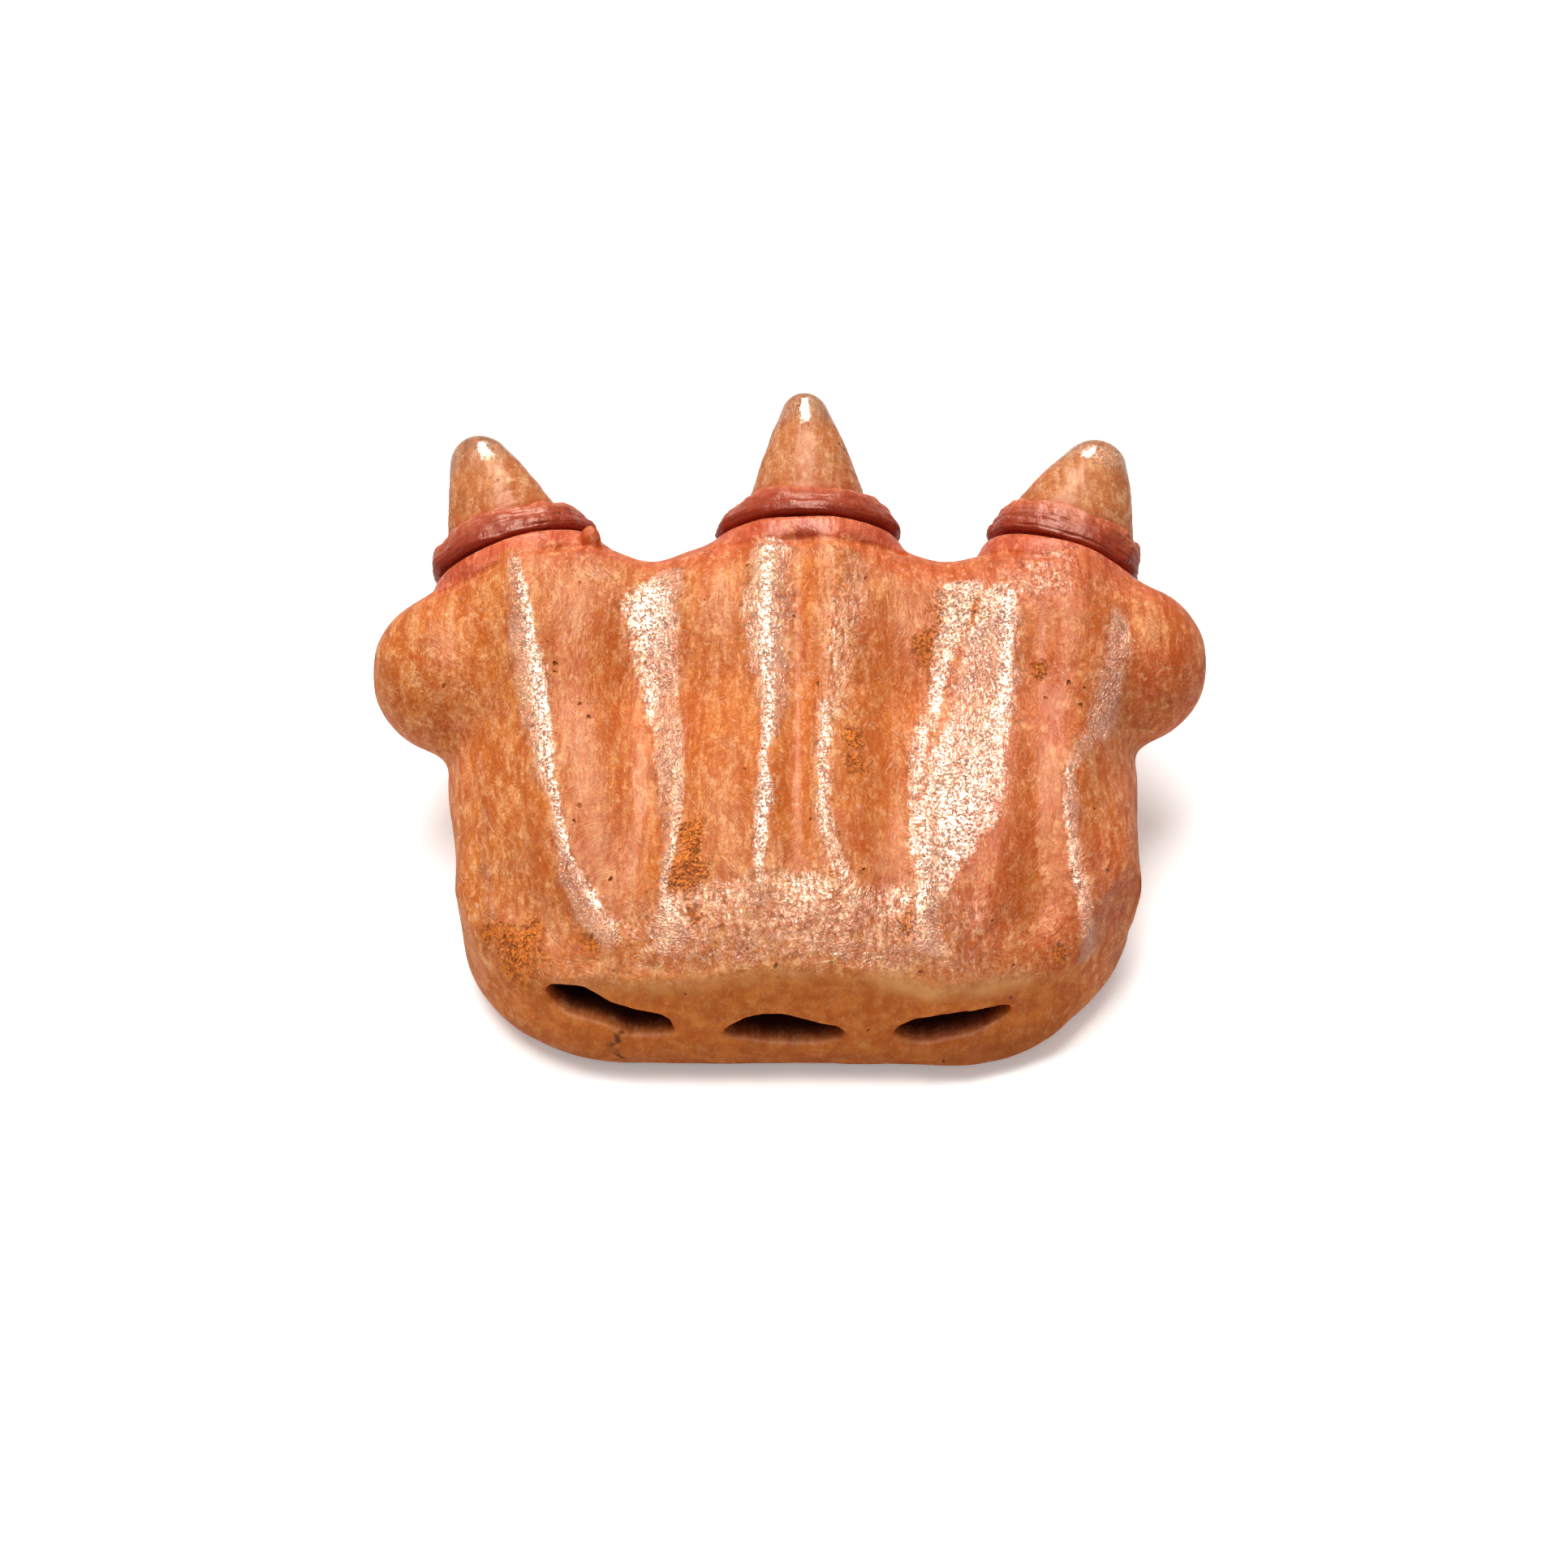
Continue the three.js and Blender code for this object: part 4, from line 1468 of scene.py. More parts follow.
    def _relief(self, g: ShaderGraph, clay: ClaySockets) -> Socket:
        """Adds up the fine relief of strokes, drag marks, lumps, dimples, pits and cracks.

        Args:
            g: The material's graph.
            clay: Its sockets.

        Returns:
            The height, in millimetres.
        """
        calm = g.band(clay.masks[Mask.MOUTH], 0.0, 1.0, (1.0, 0.2))
        dimples = g.noise(g.stretched(clay.where, (1.5, 0.8, 1.2)), 1.0, 3.0, 0.65)
        height = g.times(clay.marks["Height"], g.times(calm, self.stroke_depth))
        for mark, depth in (
            (clay.marks["Drag"], g.times(clay.open_skin, self.drag_depth)),
            (g.noise(clay.where, 0.6, 3.0, 0.55), self.lump_depth),
            (dimples, g.times(clay.masks[Mask.RUBBED], self.rubbed_depth)),
            (clay.marks["Depth"], -self.pit_depth),
            (clay.masks[Mask.CRACK], -self.crack_depth),
        ):
            height = g.plus(height, g.times(mark, depth))
        return height


BURNISHED = ClayFinish(
    "burnished_clay", (0.96, 0.50, 0.21), (0.82, 0.275, 0.065), (0.46, 0.078, 0.008), (0.82, 0.19, 0.08),
    (0.54, 0.065, 0.022), 0.36, 0.12, 0.16, sheen=0.07)
SLIP = ClayFinish(
    "red_slip", (0.94, 0.40, 0.22), (0.86, 0.24, 0.10), (0.50, 0.07, 0.022), (0.84, 0.21, 0.095),
    (0.52, 0.065, 0.026), 0.32, 0.08, 0.24, red_share=0.3, painted_shade_share=0.96, shade=(0.29, 0.028, 0.010),
    sheen=0.12, glint_share=0.4)
CLAW = ClayFinish(
    "claw_clay", (0.92, 0.56, 0.30), (0.73, 0.30, 0.115), (0.42, 0.10, 0.026), (0.4, 0.12, 0.06),
    (0.26, 0.06, 0.03), 0.2, 0.04, 0.12, coat=0.02, coat_roughness=0.06, red_share=-0.8, stroke_density=0.8,
    glint_share=0.15, drag_depth=0.03, sheen=0.03, painted_shade_share=0.9, shade=(0.36, 0.06, 0.014), rubbed_sheen=0.5,
    rubbed_coat=0.7, streakiness=0.85, rubbed_depth=0.02)
RAW = ClayFinish(
    "raw_clay", (0.50, 0.2, 0.1), (0.38, 0.13, 0.06), (0.24, 0.07, 0.03), (0.36, 0.1, 0.06),
    (0.2, 0.05, 0.03), 0.75, 0.2, 0.15, red_share=-0.8, glint_share=0.2, sheen=0.2)


# Sub-assemblies


@dataclass
class PawBody:
    """Shells, beak and pads, parted from one skin, and the neck bands that close the toes."""

    form: PawForm = field(default_factory=PawForm)
    mesher: ClayMesher = field(default_factory=ClayMesher)
    quick_coarsening: float = 1.6
    pad_joint: float = 42.85
    joint_gap: float = 0.15
    far: float = 90.0
    cuff_room: float = 1.2
    disc_back: float = -3.1
    disc_front: float = 3.0
    spigot_in: float = 3.1
    peg_radius: float = 3.3
    peg_depth: float = 4.3
    crack_x: float = -19.6
    # Painted shade low on the lip and under the pads.
    lip_shade: float = 0.3
    pad_shade: float = 0.17
    patches: tuple[Triple, ...] = (
        (-30.6, 4.6, 3.4), (-12.0, 8.6, 3.2), (-11.2, 12.6, 2.2), (19.5, 41.5, 3.6), (16.4, 38.5, 2.2),
        (7.0, 23.5, 1.6), (7.2, 20.0, 1.5), (17.6, 20.8, 1.6), (12.8, 3.2, 1.8), (-10.6, 4.0, 1.2),
        (29.6, 4.6, 0.9), (28.6, 34.4, 1.0), (-34.0, 8.0, 1.2), (-22.0, 3.6, 1.8),
    )

    def parts(self) -> dict[str, Item]:
        """Draws the skin and parts it into the members.

        Returns:
            The members, by node name.
        """
        vertices, quads = self.mesher.draw(self.form.body, self.form.slope)
        LOG.info("skin drawn: %d vertices, %d quads", len(vertices), len(quads))
        blank = mesh_object("blank", to_frame(vertices), quads)
        made = {}
        for toe in TOES:
            name = f"toe_plug_{toe.name}"
            made[name], blank = self._plug(name, toe, blank)
        for name, (low, high, slope_share) in self._spaces().items():
            tool = box_tool(low, high, slope_share)
            made[name] = carved(name, blank, tool, "INTERSECT")
            drop(tool)
        drop(blank)
        return made

    def _plug(self, name: str, toe: Toe, blank: Item) -> tuple[Item, Item]:
        """Parts a toe's plug from the skin.

        Args:
            name: The plug's name.
            toe: Its toe.
            blank: The skin, which is used up.

        Returns:
            The plug, and the skin without it.
        """
        cuff, neck, back = toe.cuff + self.cuff_room, toe.cuff - self.spigot_in, -self.form.spigot_depth
        tool = turned_tool(toe, ((0, back), (neck, back), (neck, self.disc_back), (cuff, self.disc_back),
                                 (cuff, self.disc_front), (0, self.disc_front)))
        disc = carved("disc", blank, tool, "INTERSECT")
        rest = carved("blank", blank, tool, "DIFFERENCE")
        peg = turned_tool(toe, ((0, -self.peg_depth), (self.peg_radius, -self.peg_depth),
                                (self.peg_radius, self.disc_front), (0, self.disc_front)))
        plug = carved(name, disc, peg, "DIFFERENCE")
        drop(tool, disc, peg, blank)
        return plug, rest

    def _spaces(self) -> dict[str, tuple[Triple, Triple, float]]:
        """Where each member of the skin lies.

        Returns:
            Low corner, high corner and slope of its block, by node name.
        """
        far, joint, back = self.far, self.pad_joint, BEAK.back + self.joint_gap
        lip, seam, slope_share = BEAK.lip_top + self.joint_gap, self.form.seam_z, self.form.seam_share
        return {
            "side_pad_left": ((-far, -far, -far), (-joint, far, far), 0.0),
            "side_pad_right": ((joint, -far, -far), (far, far, far), 0.0),
            "lower_lip": ((-joint, -far, -far), (joint, back, lip), 0.0),
            "mouth_block": ((-joint, -far, lip), (joint, back, far), 0.0),
            "palm_shell": ((-joint, back, -far), (joint, far, seam), slope_share),
            "dorsal_shell": ((-joint, back, seam), (joint, far, far * 2), slope_share),
        }

    def masks(self, p: Points) -> dict[Mask, Array]:
        """The shading masks at points of the body.

        Args:
            p: Layout coordinates.

        Returns:
            One array from 0 to 1 for each mask.
        """
        x, y, z = p
        form = self.form
        mouth = self._mouth(p)
        patchy = 0.45 + 0.55 * form.waves.at(p, (6.0, 9.0, 9.0)) + 0.3 * form.lumps.at(p, (1.1, 1.1, 1.1))
        wander = (x + 0.5 * form.lumps.at(p, (1.4, 4.0, 9.0)), y, z)
        above = ease(z, 9.5, 12.0) * (1 - mouth) * ease(-y, -51.5, -49.0)
        crack_x = self.crack_x + 0.35 * np.sin(z * 2.1) + 0.25 * np.sin(z * 5.3 + 1)
        return {
            Mask.VALLEY: ease(y, -2, 8) * ease(z, 9, 12) * np.max([shadow.at(p) for shadow in SHADOWS], axis=0),
            Mask.RED: self._red(p),
            Mask.MOUTH: mouth,
            Mask.SOOT: self._under_shade(p),
            Mask.CRUMBLE: self._crumble(p),
            Mask.CRACK: ease(-np.abs(x - crack_x), -0.34, -0.06) * ease(z, 2.6, 3.8) * (z < 7.2) * (y < 2),
            Mask.WEAR: np.clip(form.edge_roll(p) * patchy * 1.4, 0, 1),
            Mask.RUBBED: above * np.max([streak.at(wander) for streak in HIGHLIGHT_STREAKS], axis=0),
        }

    def _red(self, p: Points) -> Array:
        """Red slip: stronger at the right and towards the toes, weaker in one fair patch and low down.

        Args:
            p: Layout coordinates.

        Returns:
            Values from 0 to 1.
        """
        x, y, z = p
        red = 0.12 + 0.5 * ease(x, 4, 18) + 0.95 * ease(y, 43, 52) + 0.2 * ease(-x, 30, 39)
        red = red - 0.2 * ease(-np.hypot(x - 27.5, (y - 18) / 4), -3.2, -1.0)
        return np.clip(red - 0.35 * ease(-z, -14, -9), 0, 1)

    def _mouth(self, p: Points) -> Array:
        """The flat of the mouth face, fainter towards its ends.

        Args:
            p: Layout coordinates.

        Returns:
            Values from 0 to 1.
        """
        x, y, z = p
        below = ease(-(z - self.form.mouth_edge(p)[1]), -0.9, 0.1)
        on_face = ease(-np.abs(self.form.mouth_face(p)), -2.0, -0.5)
        return on_face * ease(-y, -9, -4) * below * (1 - 0.5 * ease(np.abs(x), 26, 36))

    def _under_shade(self, p: Points) -> Array:
        """Painted shade: inside the flute, low on the lip and under the side pads.

        Args:
            p: Layout coordinates.

        Returns:
            Values from 0 to 1.
        """
        x, y, z = p
        inside = ease(-self.form.skin(p), 0.5, 3.2)
        low = self.lip_shade * ease(-z, -7.5, -3.0) * ease(-y, -6.0, -1.0)
        under_pads = self.pad_shade * ease(np.abs(x + 4.0), 38.0, 46.0) * ease(-z, -19.0, -11.0)
        return np.max([inside, low, under_pads], axis=0)

    def _crumble(self, p: Points) -> Array:
        """Patches where the surface has crumbled away.

        Args:
            p: Layout coordinates.

        Returns:
            Values from 0 to 1.
        """
        rough = np.zeros(len(p[0]))
        wobble = self.form.lumps.at(p, (1.6, 1.6, 1.6)) * 0.35
        for patch_x, patch_y, radius in self.patches:
            away = np.hypot(p[0] - patch_x, p[1] - patch_y) / radius
            rough = np.maximum(rough, ease(-(away + wobble), -1.15, -0.45))
        return rough * ease(p[2], 9, 12)

    def dress(self, made: dict[str, Item], burnished: Material, slip: Material) -> None:
        """Shades, masks and declares every member of the body.

        Args:
            made: The members, by node name.
            burnished: Clay of the skin.
            slip: Clay of the toes' neck bands.
        """
        for name, item in made.items():
            mesh = item.data
            p = columns(to_layout(coordinates(mesh)))
            for mask, values in self.masks(p).items():
                stored = mesh.attributes.new(mask.value, "FLOAT", "POINT")
                stored.data.foreach_set("value", values.astype(np.float32))
            normals = self.form.slope(p, self.form.body)
            normals /= np.maximum(np.linalg.norm(normals, axis=1), TINY)[:, None]
            mesh.shade_smooth()
            mesh.normals_split_custom_set_from_vertices(normals.tolist())
            is_plug = name.startswith("toe_plug")
            dress_in(item, slip if is_plug else burnished)
            declare(item, name)


@dataclass(frozen=True)
class Section:
    """Half section of a turned member, and the painted shade along it.

    Args:
        profile: (radius, height) points in millimetres, from the foot on.
        shades: How much painted shade each of them gets.
        radius: The largest radius.
        foot: The lowest height.
        height: Height from foot to top.
        is_ring: Whether the profile closes on itself, as a ring's does.
    """

    profile: Rule
    shades: Sequence[float]
    radius: float
    foot: float
    height: float
    is_ring: bool

    def rules(self) -> tuple[Rule, Rule, Rule]:
        """Radius, height and shade as shares, by the share of the way along the profile.

        Returns:
            The three rules.
        """
        runs = [0.0]
        for (r0, h0), (r1, h1) in zip(self.profile, self.profile[1:]):
            runs.append(runs[-1] + math.hypot(r1 - r0, h1 - h0))
        steps = [run / runs[-1] for run in runs]
        radii = [max(r, 0.0) / self.radius for r, _ in self.profile]
        heights = [(h - self.foot) / self.height for _, h in self.profile]
        return tuple(list(zip(steps, values)) for values in (radii, heights, self.shades))


class TurnedTree:
    """A Geometry Nodes tree that turns a section into a closed, hand-worked member."""

    wave_scale = 0.22
    line_scale = 0.8
    line_stretch = (0.16, 1.9, 0.16)
    smooth_from = 0.3
    smooth_rate = 2.5
    rim_unevenness = 1.4
    dark_below = 0.46
    dark_rate = 2.2
    gloss_from = 0.7
    gloss_rate = 5.0
    most_gloss = 0.9
    weld = 2e-6

    def __init__(self, name: str, section: Section) -> None:
        """Builds the tree.

        Args:
            name: The tree's name.
            section: What it turns.
        """
        self.section = section
        self.tree = bpy.data.node_groups.new(name, "GeometryNodeTree")
        self.sockets = {}
        for key in ("Around", "Rings"):
            self._socket(key, "NodeSocketInt")
        for key in ("Largest Radius", "Height", "Foot", "Lean", "Droop", "Wobble", "Wrinkle", "Seed"):
            self._socket(key, "NodeSocketFloat")
        self._socket("Material", "NodeSocketMaterial")
        self.tree.interface.new_socket("Geometry", in_out="OUTPUT", socket_type="NodeSocketGeometry")
        self._build()

    def _socket(self, name: str, kind: str) -> None:
        """Adds a named input and remembers its identifier."""
        self.sockets[name] = self.tree.interface.new_socket(name, in_out="INPUT", socket_type=kind).identifier

    @staticmethod
    def _curve(g: Graph, value: Socket, points: Rule) -> Socket:
        """Adds a Float Curve that runs straight between its points.

        Args:
            g: The graph.
            value: What it reads.
            points: Its points.

        Returns:
            Its value.
        """
        node = g.add("ShaderNodeFloatCurve", {"Value": value})
        curve = node.mapping.curves[0]
        while len(curve.points) < len(points):
            curve.points.new(0.5, 0.5)
        for point, place in zip(curve.points, points):
            point.location = place
            point.handle_type = "VECTOR"
        node.mapping.update()
        return node.outputs[0]

    @staticmethod
    def _point(g: Graph, *parts: Socket) -> Socket:
        """A vector of three values."""
        return g.add("ShaderNodeCombineXYZ", dict(enumerate(parts))).outputs[0]

    def _build(self) -> None:
        """Lays the nodes. The masks are stored before the grid is moved, because they read its places."""
        g = Graph(self.tree)
        given = g.add("NodeGroupInput").outputs
        is_ring = self.section.is_ring
        geometry = g.add("GeometryNodeMeshGrid", {
            "Size X": 1.0, "Size Y": 1.0, "Vertices X": g.plus(given["Around"], 1.0), "Vertices Y": given["Rings"],
        }).outputs["Mesh"]
        place = g.add("ShaderNodeSeparateXYZ", {0: g.add("GeometryNodeInputPosition").outputs[0]}).outputs
        angle = g.times(g.plus(place[0], 0.5), 2 * math.pi)
        along = g.plus(place[1], 0.5)
        cosine, sine = g.math("COSINE", angle), g.math("SINE", angle)
        radius_share, height_share, dark = (self._curve(g, along, rule) for rule in self.section.rules())
        radius = g.times(radius_share, given["Largest Radius"])
        rise = g.times(height_share, given["Height"])
        height = g.plus(rise, given["Foot"])
        where = g.stretched(self._point(g, g.times(cosine, radius), height, g.times(sine, radius)),
                            (1 / MILLIMETRE,) * 3)
        waves = g.noise(where, self.wave_scale, seed=given["Seed"])
        lines = g.noise(g.stretched(where, self.line_stretch), self.line_scale, seed=given["Seed"])
        t = g.least(g.most(g.math("DIVIDE", rise, given["Height"]), 0.0), 1.0)
        wobble = g.times(g.minus(waves, 0.5), given["Wobble"])
        wrinkle = g.times(g.minus(lines, 0.5), given["Wrinkle"])
        if is_ring:
            height = g.plus(height, g.times(wobble, g.times(t, self.rim_unevenness)))
        else:
            past_root = g.times(g.most(g.minus(t, self.smooth_from), 0.0), self.smooth_rate)
            wrinkle = g.times(wrinkle, g.minus(1.0, g.least(past_root, 1.0)))
        thick = g.math("DIVIDE", radius, given["Largest Radius"])
        worked = g.plus(radius, g.times(g.plus(wobble, wrinkle), thick))
        bend = g.times(t, t)
        x = g.plus(g.times(cosine, worked), g.times(given["Lean"], bend))
        z = g.plus(g.times(sine, worked), g.times(given["Droop"], bend))
        # Glossy claw tip; the finish also tints it pale as painted highlight.
        gloss = g.times(g.minus(t, self.gloss_from), 0.0 if is_ring else self.gloss_rate)
        for mask, value in (
            # painted shade from the section, with random dark lines of mottle
            (Mask.VALLEY, g.most(dark, g.times(g.minus(self.dark_below, lines), self.dark_rate))),
            (Mask.RUBBED, g.most(g.least(gloss, self.most_gloss), 0.0)),
        ):
            geometry = g.add("GeometryNodeStoreNamedAttribute",
                             {"Geometry": geometry, "Name": mask.value, "Value": value},
                             data_type="FLOAT", domain="POINT").outputs[0]
        for kind, inputs in (
            ("GeometryNodeSetPosition", {"Position": self._point(g, x, height, z)}),
            ("GeometryNodeMergeByDistance", {"Distance": self.weld}),
            ("GeometryNodeSetShadeSmooth", {"Shade Smooth": True}),
            ("GeometryNodeRealizeInstances", {}),
            ("GeometryNodeSetMaterial", {"Material": given["Material"]}),
        ):
            geometry = g.add(kind, {"Geometry": geometry, **inputs}).outputs[0]
        g.feed(g.add("NodeGroupOutput").inputs[0], geometry)

    def turn(self, name: str, placing: Matrix, lengths: dict[str, float], settings: dict[str, object]) -> Item:
        """Makes one member.

        Args:
            name: The piece's name.
            placing: Where the member stands in the frame.
            lengths: Millimetres, by input name.
            settings: The other inputs.

        Returns:
            A plain mesh object at the origin.
        """
        carrier = mesh_object(f"{name}_carrier", np.zeros((1, 3)), np.zeros((0, 3), int))
        modifier = carrier.modifiers.new("turn", "NODES")
        modifier.node_group = self.tree
        section = self.section
        lengths = {"Largest Radius": section.radius, "Height": section.height, "Foot": section.foot, **lengths}
        for key, value in {**{key: value * MILLIMETRE for key, value in lengths.items()}, **settings}.items():
            modifier[self.sockets[key]] = value
        mesh = applied(carrier, modifier, name)
        drop(carrier)
        mesh.transform(placing)
        outward(mesh)
        return placed(name, mesh)


@dataclass
class ToeEnds:
    """Claws and the cuticle folds that they grow from."""

    peg_radius: float = 3.0
    peg: float = 4.0
    fold_height: float = 4.4
    joint: float = 0.3
    wrinkle: float = 0.7
    wobble: float = 0.9
    fold_wobble: float = 1.8
    droop: float = -0.15
    arc_steps: int = 12
    fold_seed: int = 7
    # Painted shade of a claw by height: darkest low in the fold, none from 8 mm up.
    root_shade: tuple[tuple[float, ...], tuple[float, ...]] = ((2.5, 4.4, 5.6, 8.0), (1.0, 0.8, 0.25, 0.0))

    def claw_section(self, toe: Toe) -> Section:
        """Section of a claw: its peg, its root inside the fold, its hollowing flank and its tip's arc.

        Args:
            toe: The claw's toe.

        Returns:
            The section.
        """
        root, tip, low, steps = toe.root_radius, toe.tip_radius, self.fold_height, self.arc_steps
        shoulder = toe.claw_length - tip
        lean = math.atan((root - tip) / (shoulder - low) * 1.25)
        neck = tip * math.cos(lean)
        profile = [(0.0, -self.peg), (self.peg_radius, -self.peg), (self.peg_radius, 0.0), (root, 0.0),
                   (root, low - 1.0)]
        for i in range(steps + 1):
            t = i / steps
            flare = 1 - t + 0.08 * math.sin(math.pi * t) + 0.05 * math.exp(-t * 14)
            profile.append((neck + (root - neck) * min(flare, 1.0),
                            low - 0.4 + (shoulder + tip * math.sin(lean) - low + 0.4) * t))
        for i in range(1, steps + 1):
            angle = lean + (math.pi / 2 - lean) * i / steps
            profile.append((tip * math.cos(angle), shoulder + tip * math.sin(angle)))
        shades = [float(np.interp(h, *self.root_shade)) for _, h in profile]
        return Section(profile, shades, root, -self.peg, toe.claw_length + self.peg, False)

    def fold_section(self, toe: Toe) -> Section:
        """Section of a fold, once round: its foot, its swelling outside, its rim and its inside.

        Args:
            toe: The fold's toe.

        Returns:
            The section.
        """
        inner, cuff, top = toe.root_radius + self.joint, toe.cuff, self.fold_height
        slope = cuff - inner
        points = (
            (inner, 0.0, 1.0), (cuff - 1.1, 0.0, 1.0), (cuff - 0.4, 0.12, 1.0), (cuff - 0.1, 0.45, 1.0),
            (cuff, 0.9, 0.95), (cuff - 0.1, 1.4, 0.9), (cuff - 0.14 * slope, 1.9, 0.85),
            (cuff - 0.24 * slope, 2.5, 0.75), (cuff - 0.34 * slope, 3.1, 0.6), (cuff - 0.46 * slope, 3.6, 0.4),
            (inner + 0.4 * slope, top - 0.4, 0.2), (inner + 0.26 * slope, top - 0.12, 0.05),
            (inner + 0.1 * slope, top, 0.0), (inner - 0.2, top - 0.2, 0.2), (inner - 0.2, top - 0.9, 0.6),
            (inner, top - 1.3, 1.0), (inner, 0.0, 1.0),
        )
        return Section([point[:2] for point in points], [point[2] for point in points], cuff, 0.0, top, True)

    def build(self, claw_clay: Material, slip: Material) -> None:
        """Args:
            claw_clay: Clay of the claws.
            slip: Clay of the folds.
        """
        for number, toe in enumerate(TOES):
            lengths = {"Wrinkle": self.wrinkle, "Wobble": self.wobble, "Lean": toe.tip_lean, "Droop": self.droop}
            claw = TurnedTree(f"claw_{toe.name}_rule", self.claw_section(toe)).turn(
                f"claw_{toe.name}", toe.placing, lengths,
                {"Seed": float(number), "Material": claw_clay, "Around": 128, "Rings": 150})
            dress_in(claw, claw_clay)
            declare(claw, f"claw_{toe.name}")
            lengths = {"Wrinkle": self.wrinkle, "Wobble": self.fold_wobble}
            fold = TurnedTree(f"fold_{toe.name}_rule", self.fold_section(toe)).turn(
                f"cuticle_ring_{toe.name}", toe.placing, lengths,
                {"Seed": float(number + self.fold_seed), "Material": slip, "Around": 200, "Rings": 110})
            dress_in(fold, slip)
            declare(fold, f"cuticle_ring_{toe.name}")


@dataclass
class Voicing:
    """The blades that split the breath, and the inner walls of the chambers."""

    width: float = 10.4
    window_length: float = 6.2
    length: float = 9.0
    edge: float = 0.5
    top: float = 4.6
    foot: float = 0.8
    bevel: float = 0.12

    def build(self, raw: Material) -> None:
        """Cuts the three blades and dresses the two walls.

        Args:
            raw: Their clay.
        """
        for slot in SLOTS:
            blade = self._blade(slot)
            dress_in(blade, raw)
            declare(blade, f"labium_{slot.name}")
        for name in ("chamber_wall_left", "chamber_wall_right"):
            dress_in(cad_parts[name], raw)

    def _blade(self, slot: Slot) -> Item:
        """Makes a labium: its edge towards the windway, its foot behind.

        Args:
            slot: The slot whose breath it splits.

        Returns:
            The blade, with its edges rounded.
        """
        front = BEAK.back + self.window_length
        back = front + self.length
        side = ((front, self.top), (front, self.top - self.edge), (back - self.foot, self.foot),
                (back, self.foot), (back, self.top))
        count = len(side)
        corners = [(slot.exit_x + sign * self.width / 2, y, z) for sign in (-1, 1) for y, z in side]
        walls = [(k, (k + 1) % count, (k + 1) % count + count, k + count) for k in range(count)]
        mesh = bpy.data.meshes.new(f"labium_{slot.name}")
        mesh.from_pydata(to_frame(np.array(corners)).tolist(), [],
                         [tuple(range(count)), tuple(range(2 * count - 1, count - 1, -1)), *walls])
        outward(mesh)
        blade = placed(mesh.name, mesh)
        rounding = blade.modifiers.new("rounding", "BEVEL")
        rounding.width = self.bevel * MILLIMETRE
        rounding.segments = 2
        return blade


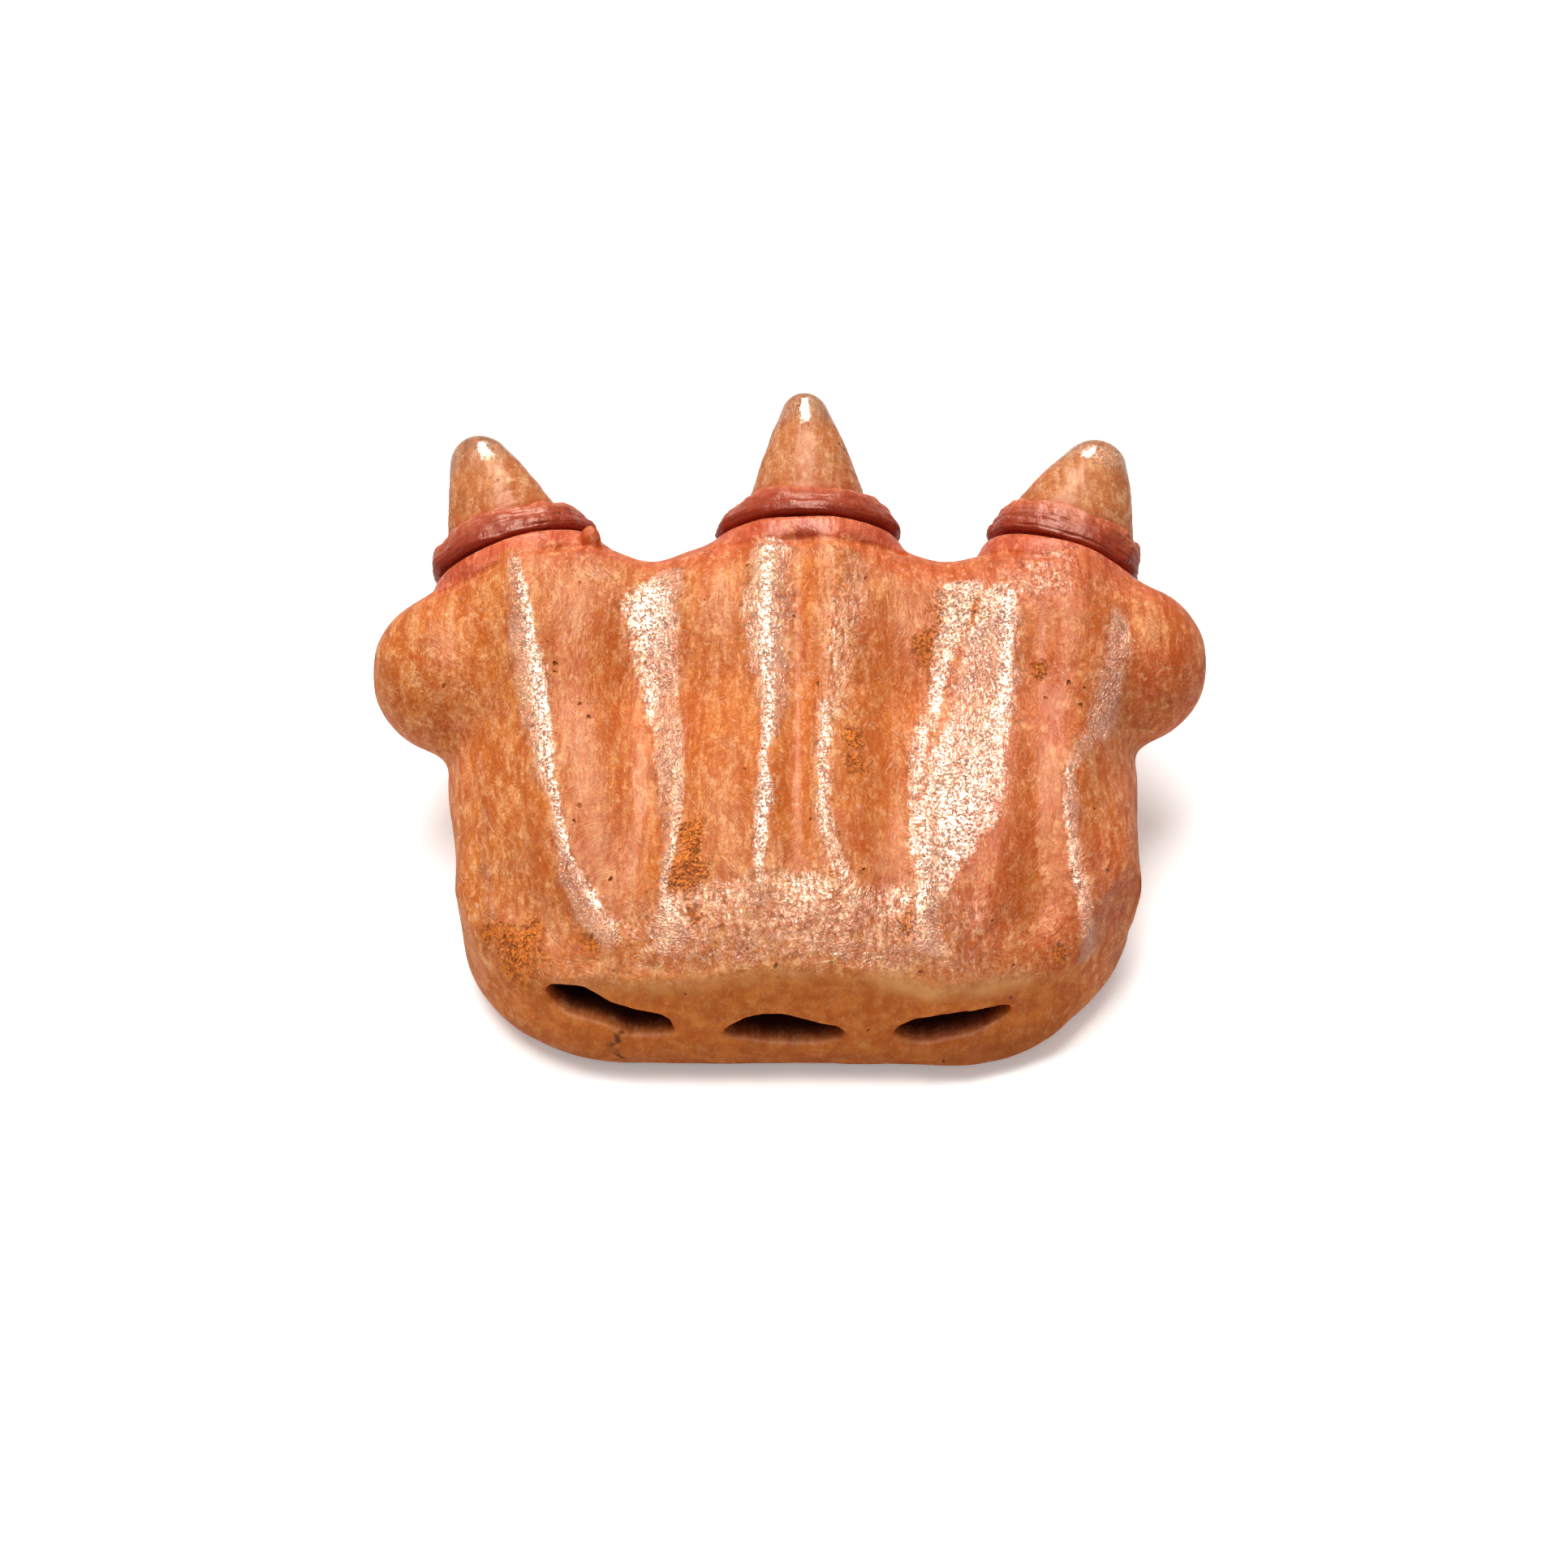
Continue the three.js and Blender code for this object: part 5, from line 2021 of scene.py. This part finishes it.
@dataclass
class Studio:
    """Pale floor, soft lamps and the camera at the photograph's angle. Lengths are in metres."""

    elevation: float = 42.0
    distance: float = 0.290
    target: Triple = (-0.0009, -0.0046, 0.015)
    focal_pixels: float = 3000.0
    sensor: float = 36.0
    nearest: float = 0.01
    world_strength: float = 0.16
    mirror_share: float = 0.3
    floor_half: float = 3.0
    floor_drop: float = 0.0001
    paper: Colour = (0.93, 0.93, 0.925)
    mirrored_paper: Colour = (0.4, 0.4, 0.4)
    paper_roughness: float = 0.8
    paper_glow: float = 0.3
    warm: Colour = (1.0, 0.84, 0.68)

    def build(self) -> None:
        """Makes camera, floor, lamps and world."""
        self.camera()
        self.floor()
        strip = self.lamp("strip", (0.0, 0.03, 0.5), (0.0, 0.02, 0.01), (0.2, 0.95), 33.0)
        strip.visible_diffuse = False
        strip.data.color = self.warm
        self.lamp("overhead", (-0.1, 0.1, 0.75), (0.0, 0.0, 0.0), (0.7, 0.5), 8.0).visible_glossy = False
        self.lamp("window", (0.0, -0.14, 0.74), (0.0, 0.02, 0.02), (0.7, 0.3), 4.5).visible_diffuse = False
        self.world()

    def camera(self) -> None:
        """Places the camera."""
        data = bpy.data.cameras.new("camera")
        data.sensor_width = self.sensor
        data.lens = self.focal_pixels / PHOTO_PIXELS * self.sensor
        data.clip_start = self.nearest
        lift = math.radians(self.elevation)
        back = Vector((0.0, -math.cos(lift), math.sin(lift)))
        item = placed("camera", data)
        item.location = Vector(self.target) + back * self.distance
        item.rotation_euler = back.to_track_quat("Z", "Y").to_euler()
        bpy.context.scene.camera = item

    def floor(self) -> None:
        """Lays the floor, which the camera sees as near white with the object's shadow."""
        half, z = self.floor_half, -self.floor_drop
        corners = np.array([(-half, -half, z), (half, -half, z), (half, half, z), (-half, half, z)])
        item = mesh_object("floor", corners, np.array([(0, 1, 2, 3)]))
        material = bpy.data.materials.new("floor_paper")
        g = ShaderGraph.of(material)
        ray = g.add("ShaderNodeLightPath").outputs
        shader = g.add("ShaderNodeBsdfPrincipled", {
            "Base Color": g.blend(ray["Is Glossy Ray"], self.paper, self.mirrored_paper),
            "Roughness": self.paper_roughness, "Emission Color": (1.0, 1.0, 1.0),
            "Emission Strength": g.times(ray["Is Camera Ray"], self.paper_glow)})
        g.feed(g.add("ShaderNodeOutputMaterial").inputs[0], shader.outputs[0])
        dress_in(item, material)

    def lamp(self, name: str, place: Triple, aim: Triple, size: tuple[float, float], power: float) -> Item:
        """Hangs one soft rectangular lamp.

        Args:
            name: Its name.
            place: Where it hangs.
            aim: What it shines at.
            size: Its width and length.
            power: Its power, in watts.

        Returns:
            The lamp.
        """
        data = bpy.data.lights.new(name, "AREA")
        data.shape = "RECTANGLE"
        data.size, data.size_y = size
        data.energy = power
        item = placed(name, data)
        item.location = place
        item.rotation_euler = (Vector(place) - Vector(aim)).to_track_quat("Z", "Y").to_euler()
        return item

    def world(self) -> None:
        """Lights evenly from all round, and shows white to the camera."""
        world = bpy.data.worlds.new("studio")
        bpy.context.scene.world = world
        g = ShaderGraph.of(world)
        ray = g.add("ShaderNodeLightPath").outputs
        strength = g.band(ray["Is Camera Ray"], 0.0, 1.0, (self.world_strength, 1.0))
        strength = g.times(strength, g.band(ray["Is Glossy Ray"], 0.0, 1.0, (1.0, self.mirror_share)))
        back = g.add("ShaderNodeBackground", {"Color": (1.0, 1.0, 1.0), "Strength": strength})
        g.feed(g.add("ShaderNodeOutputWorld").inputs[0], back.outputs[0])
        bpy.context.scene.view_settings.view_transform = "Standard"


def main() -> None:
    """Builds the flute's looks in order and reports each piece."""
    logging.basicConfig(level=logging.INFO, format="%(message)s")
    Studio().build()
    shared = SharedNodes()
    burnished, slip, claw_clay, raw = (finish.make(shared) for finish in (BURNISHED, SLIP, CLAW, RAW))
    body = PawBody()
    body.dress(body.parts(), burnished, slip)
    ToeEnds().build(claw_clay, slip)
    Voicing().build(raw)
    bpy.context.view_layer.update()


if __name__ == "__main__":
    main()
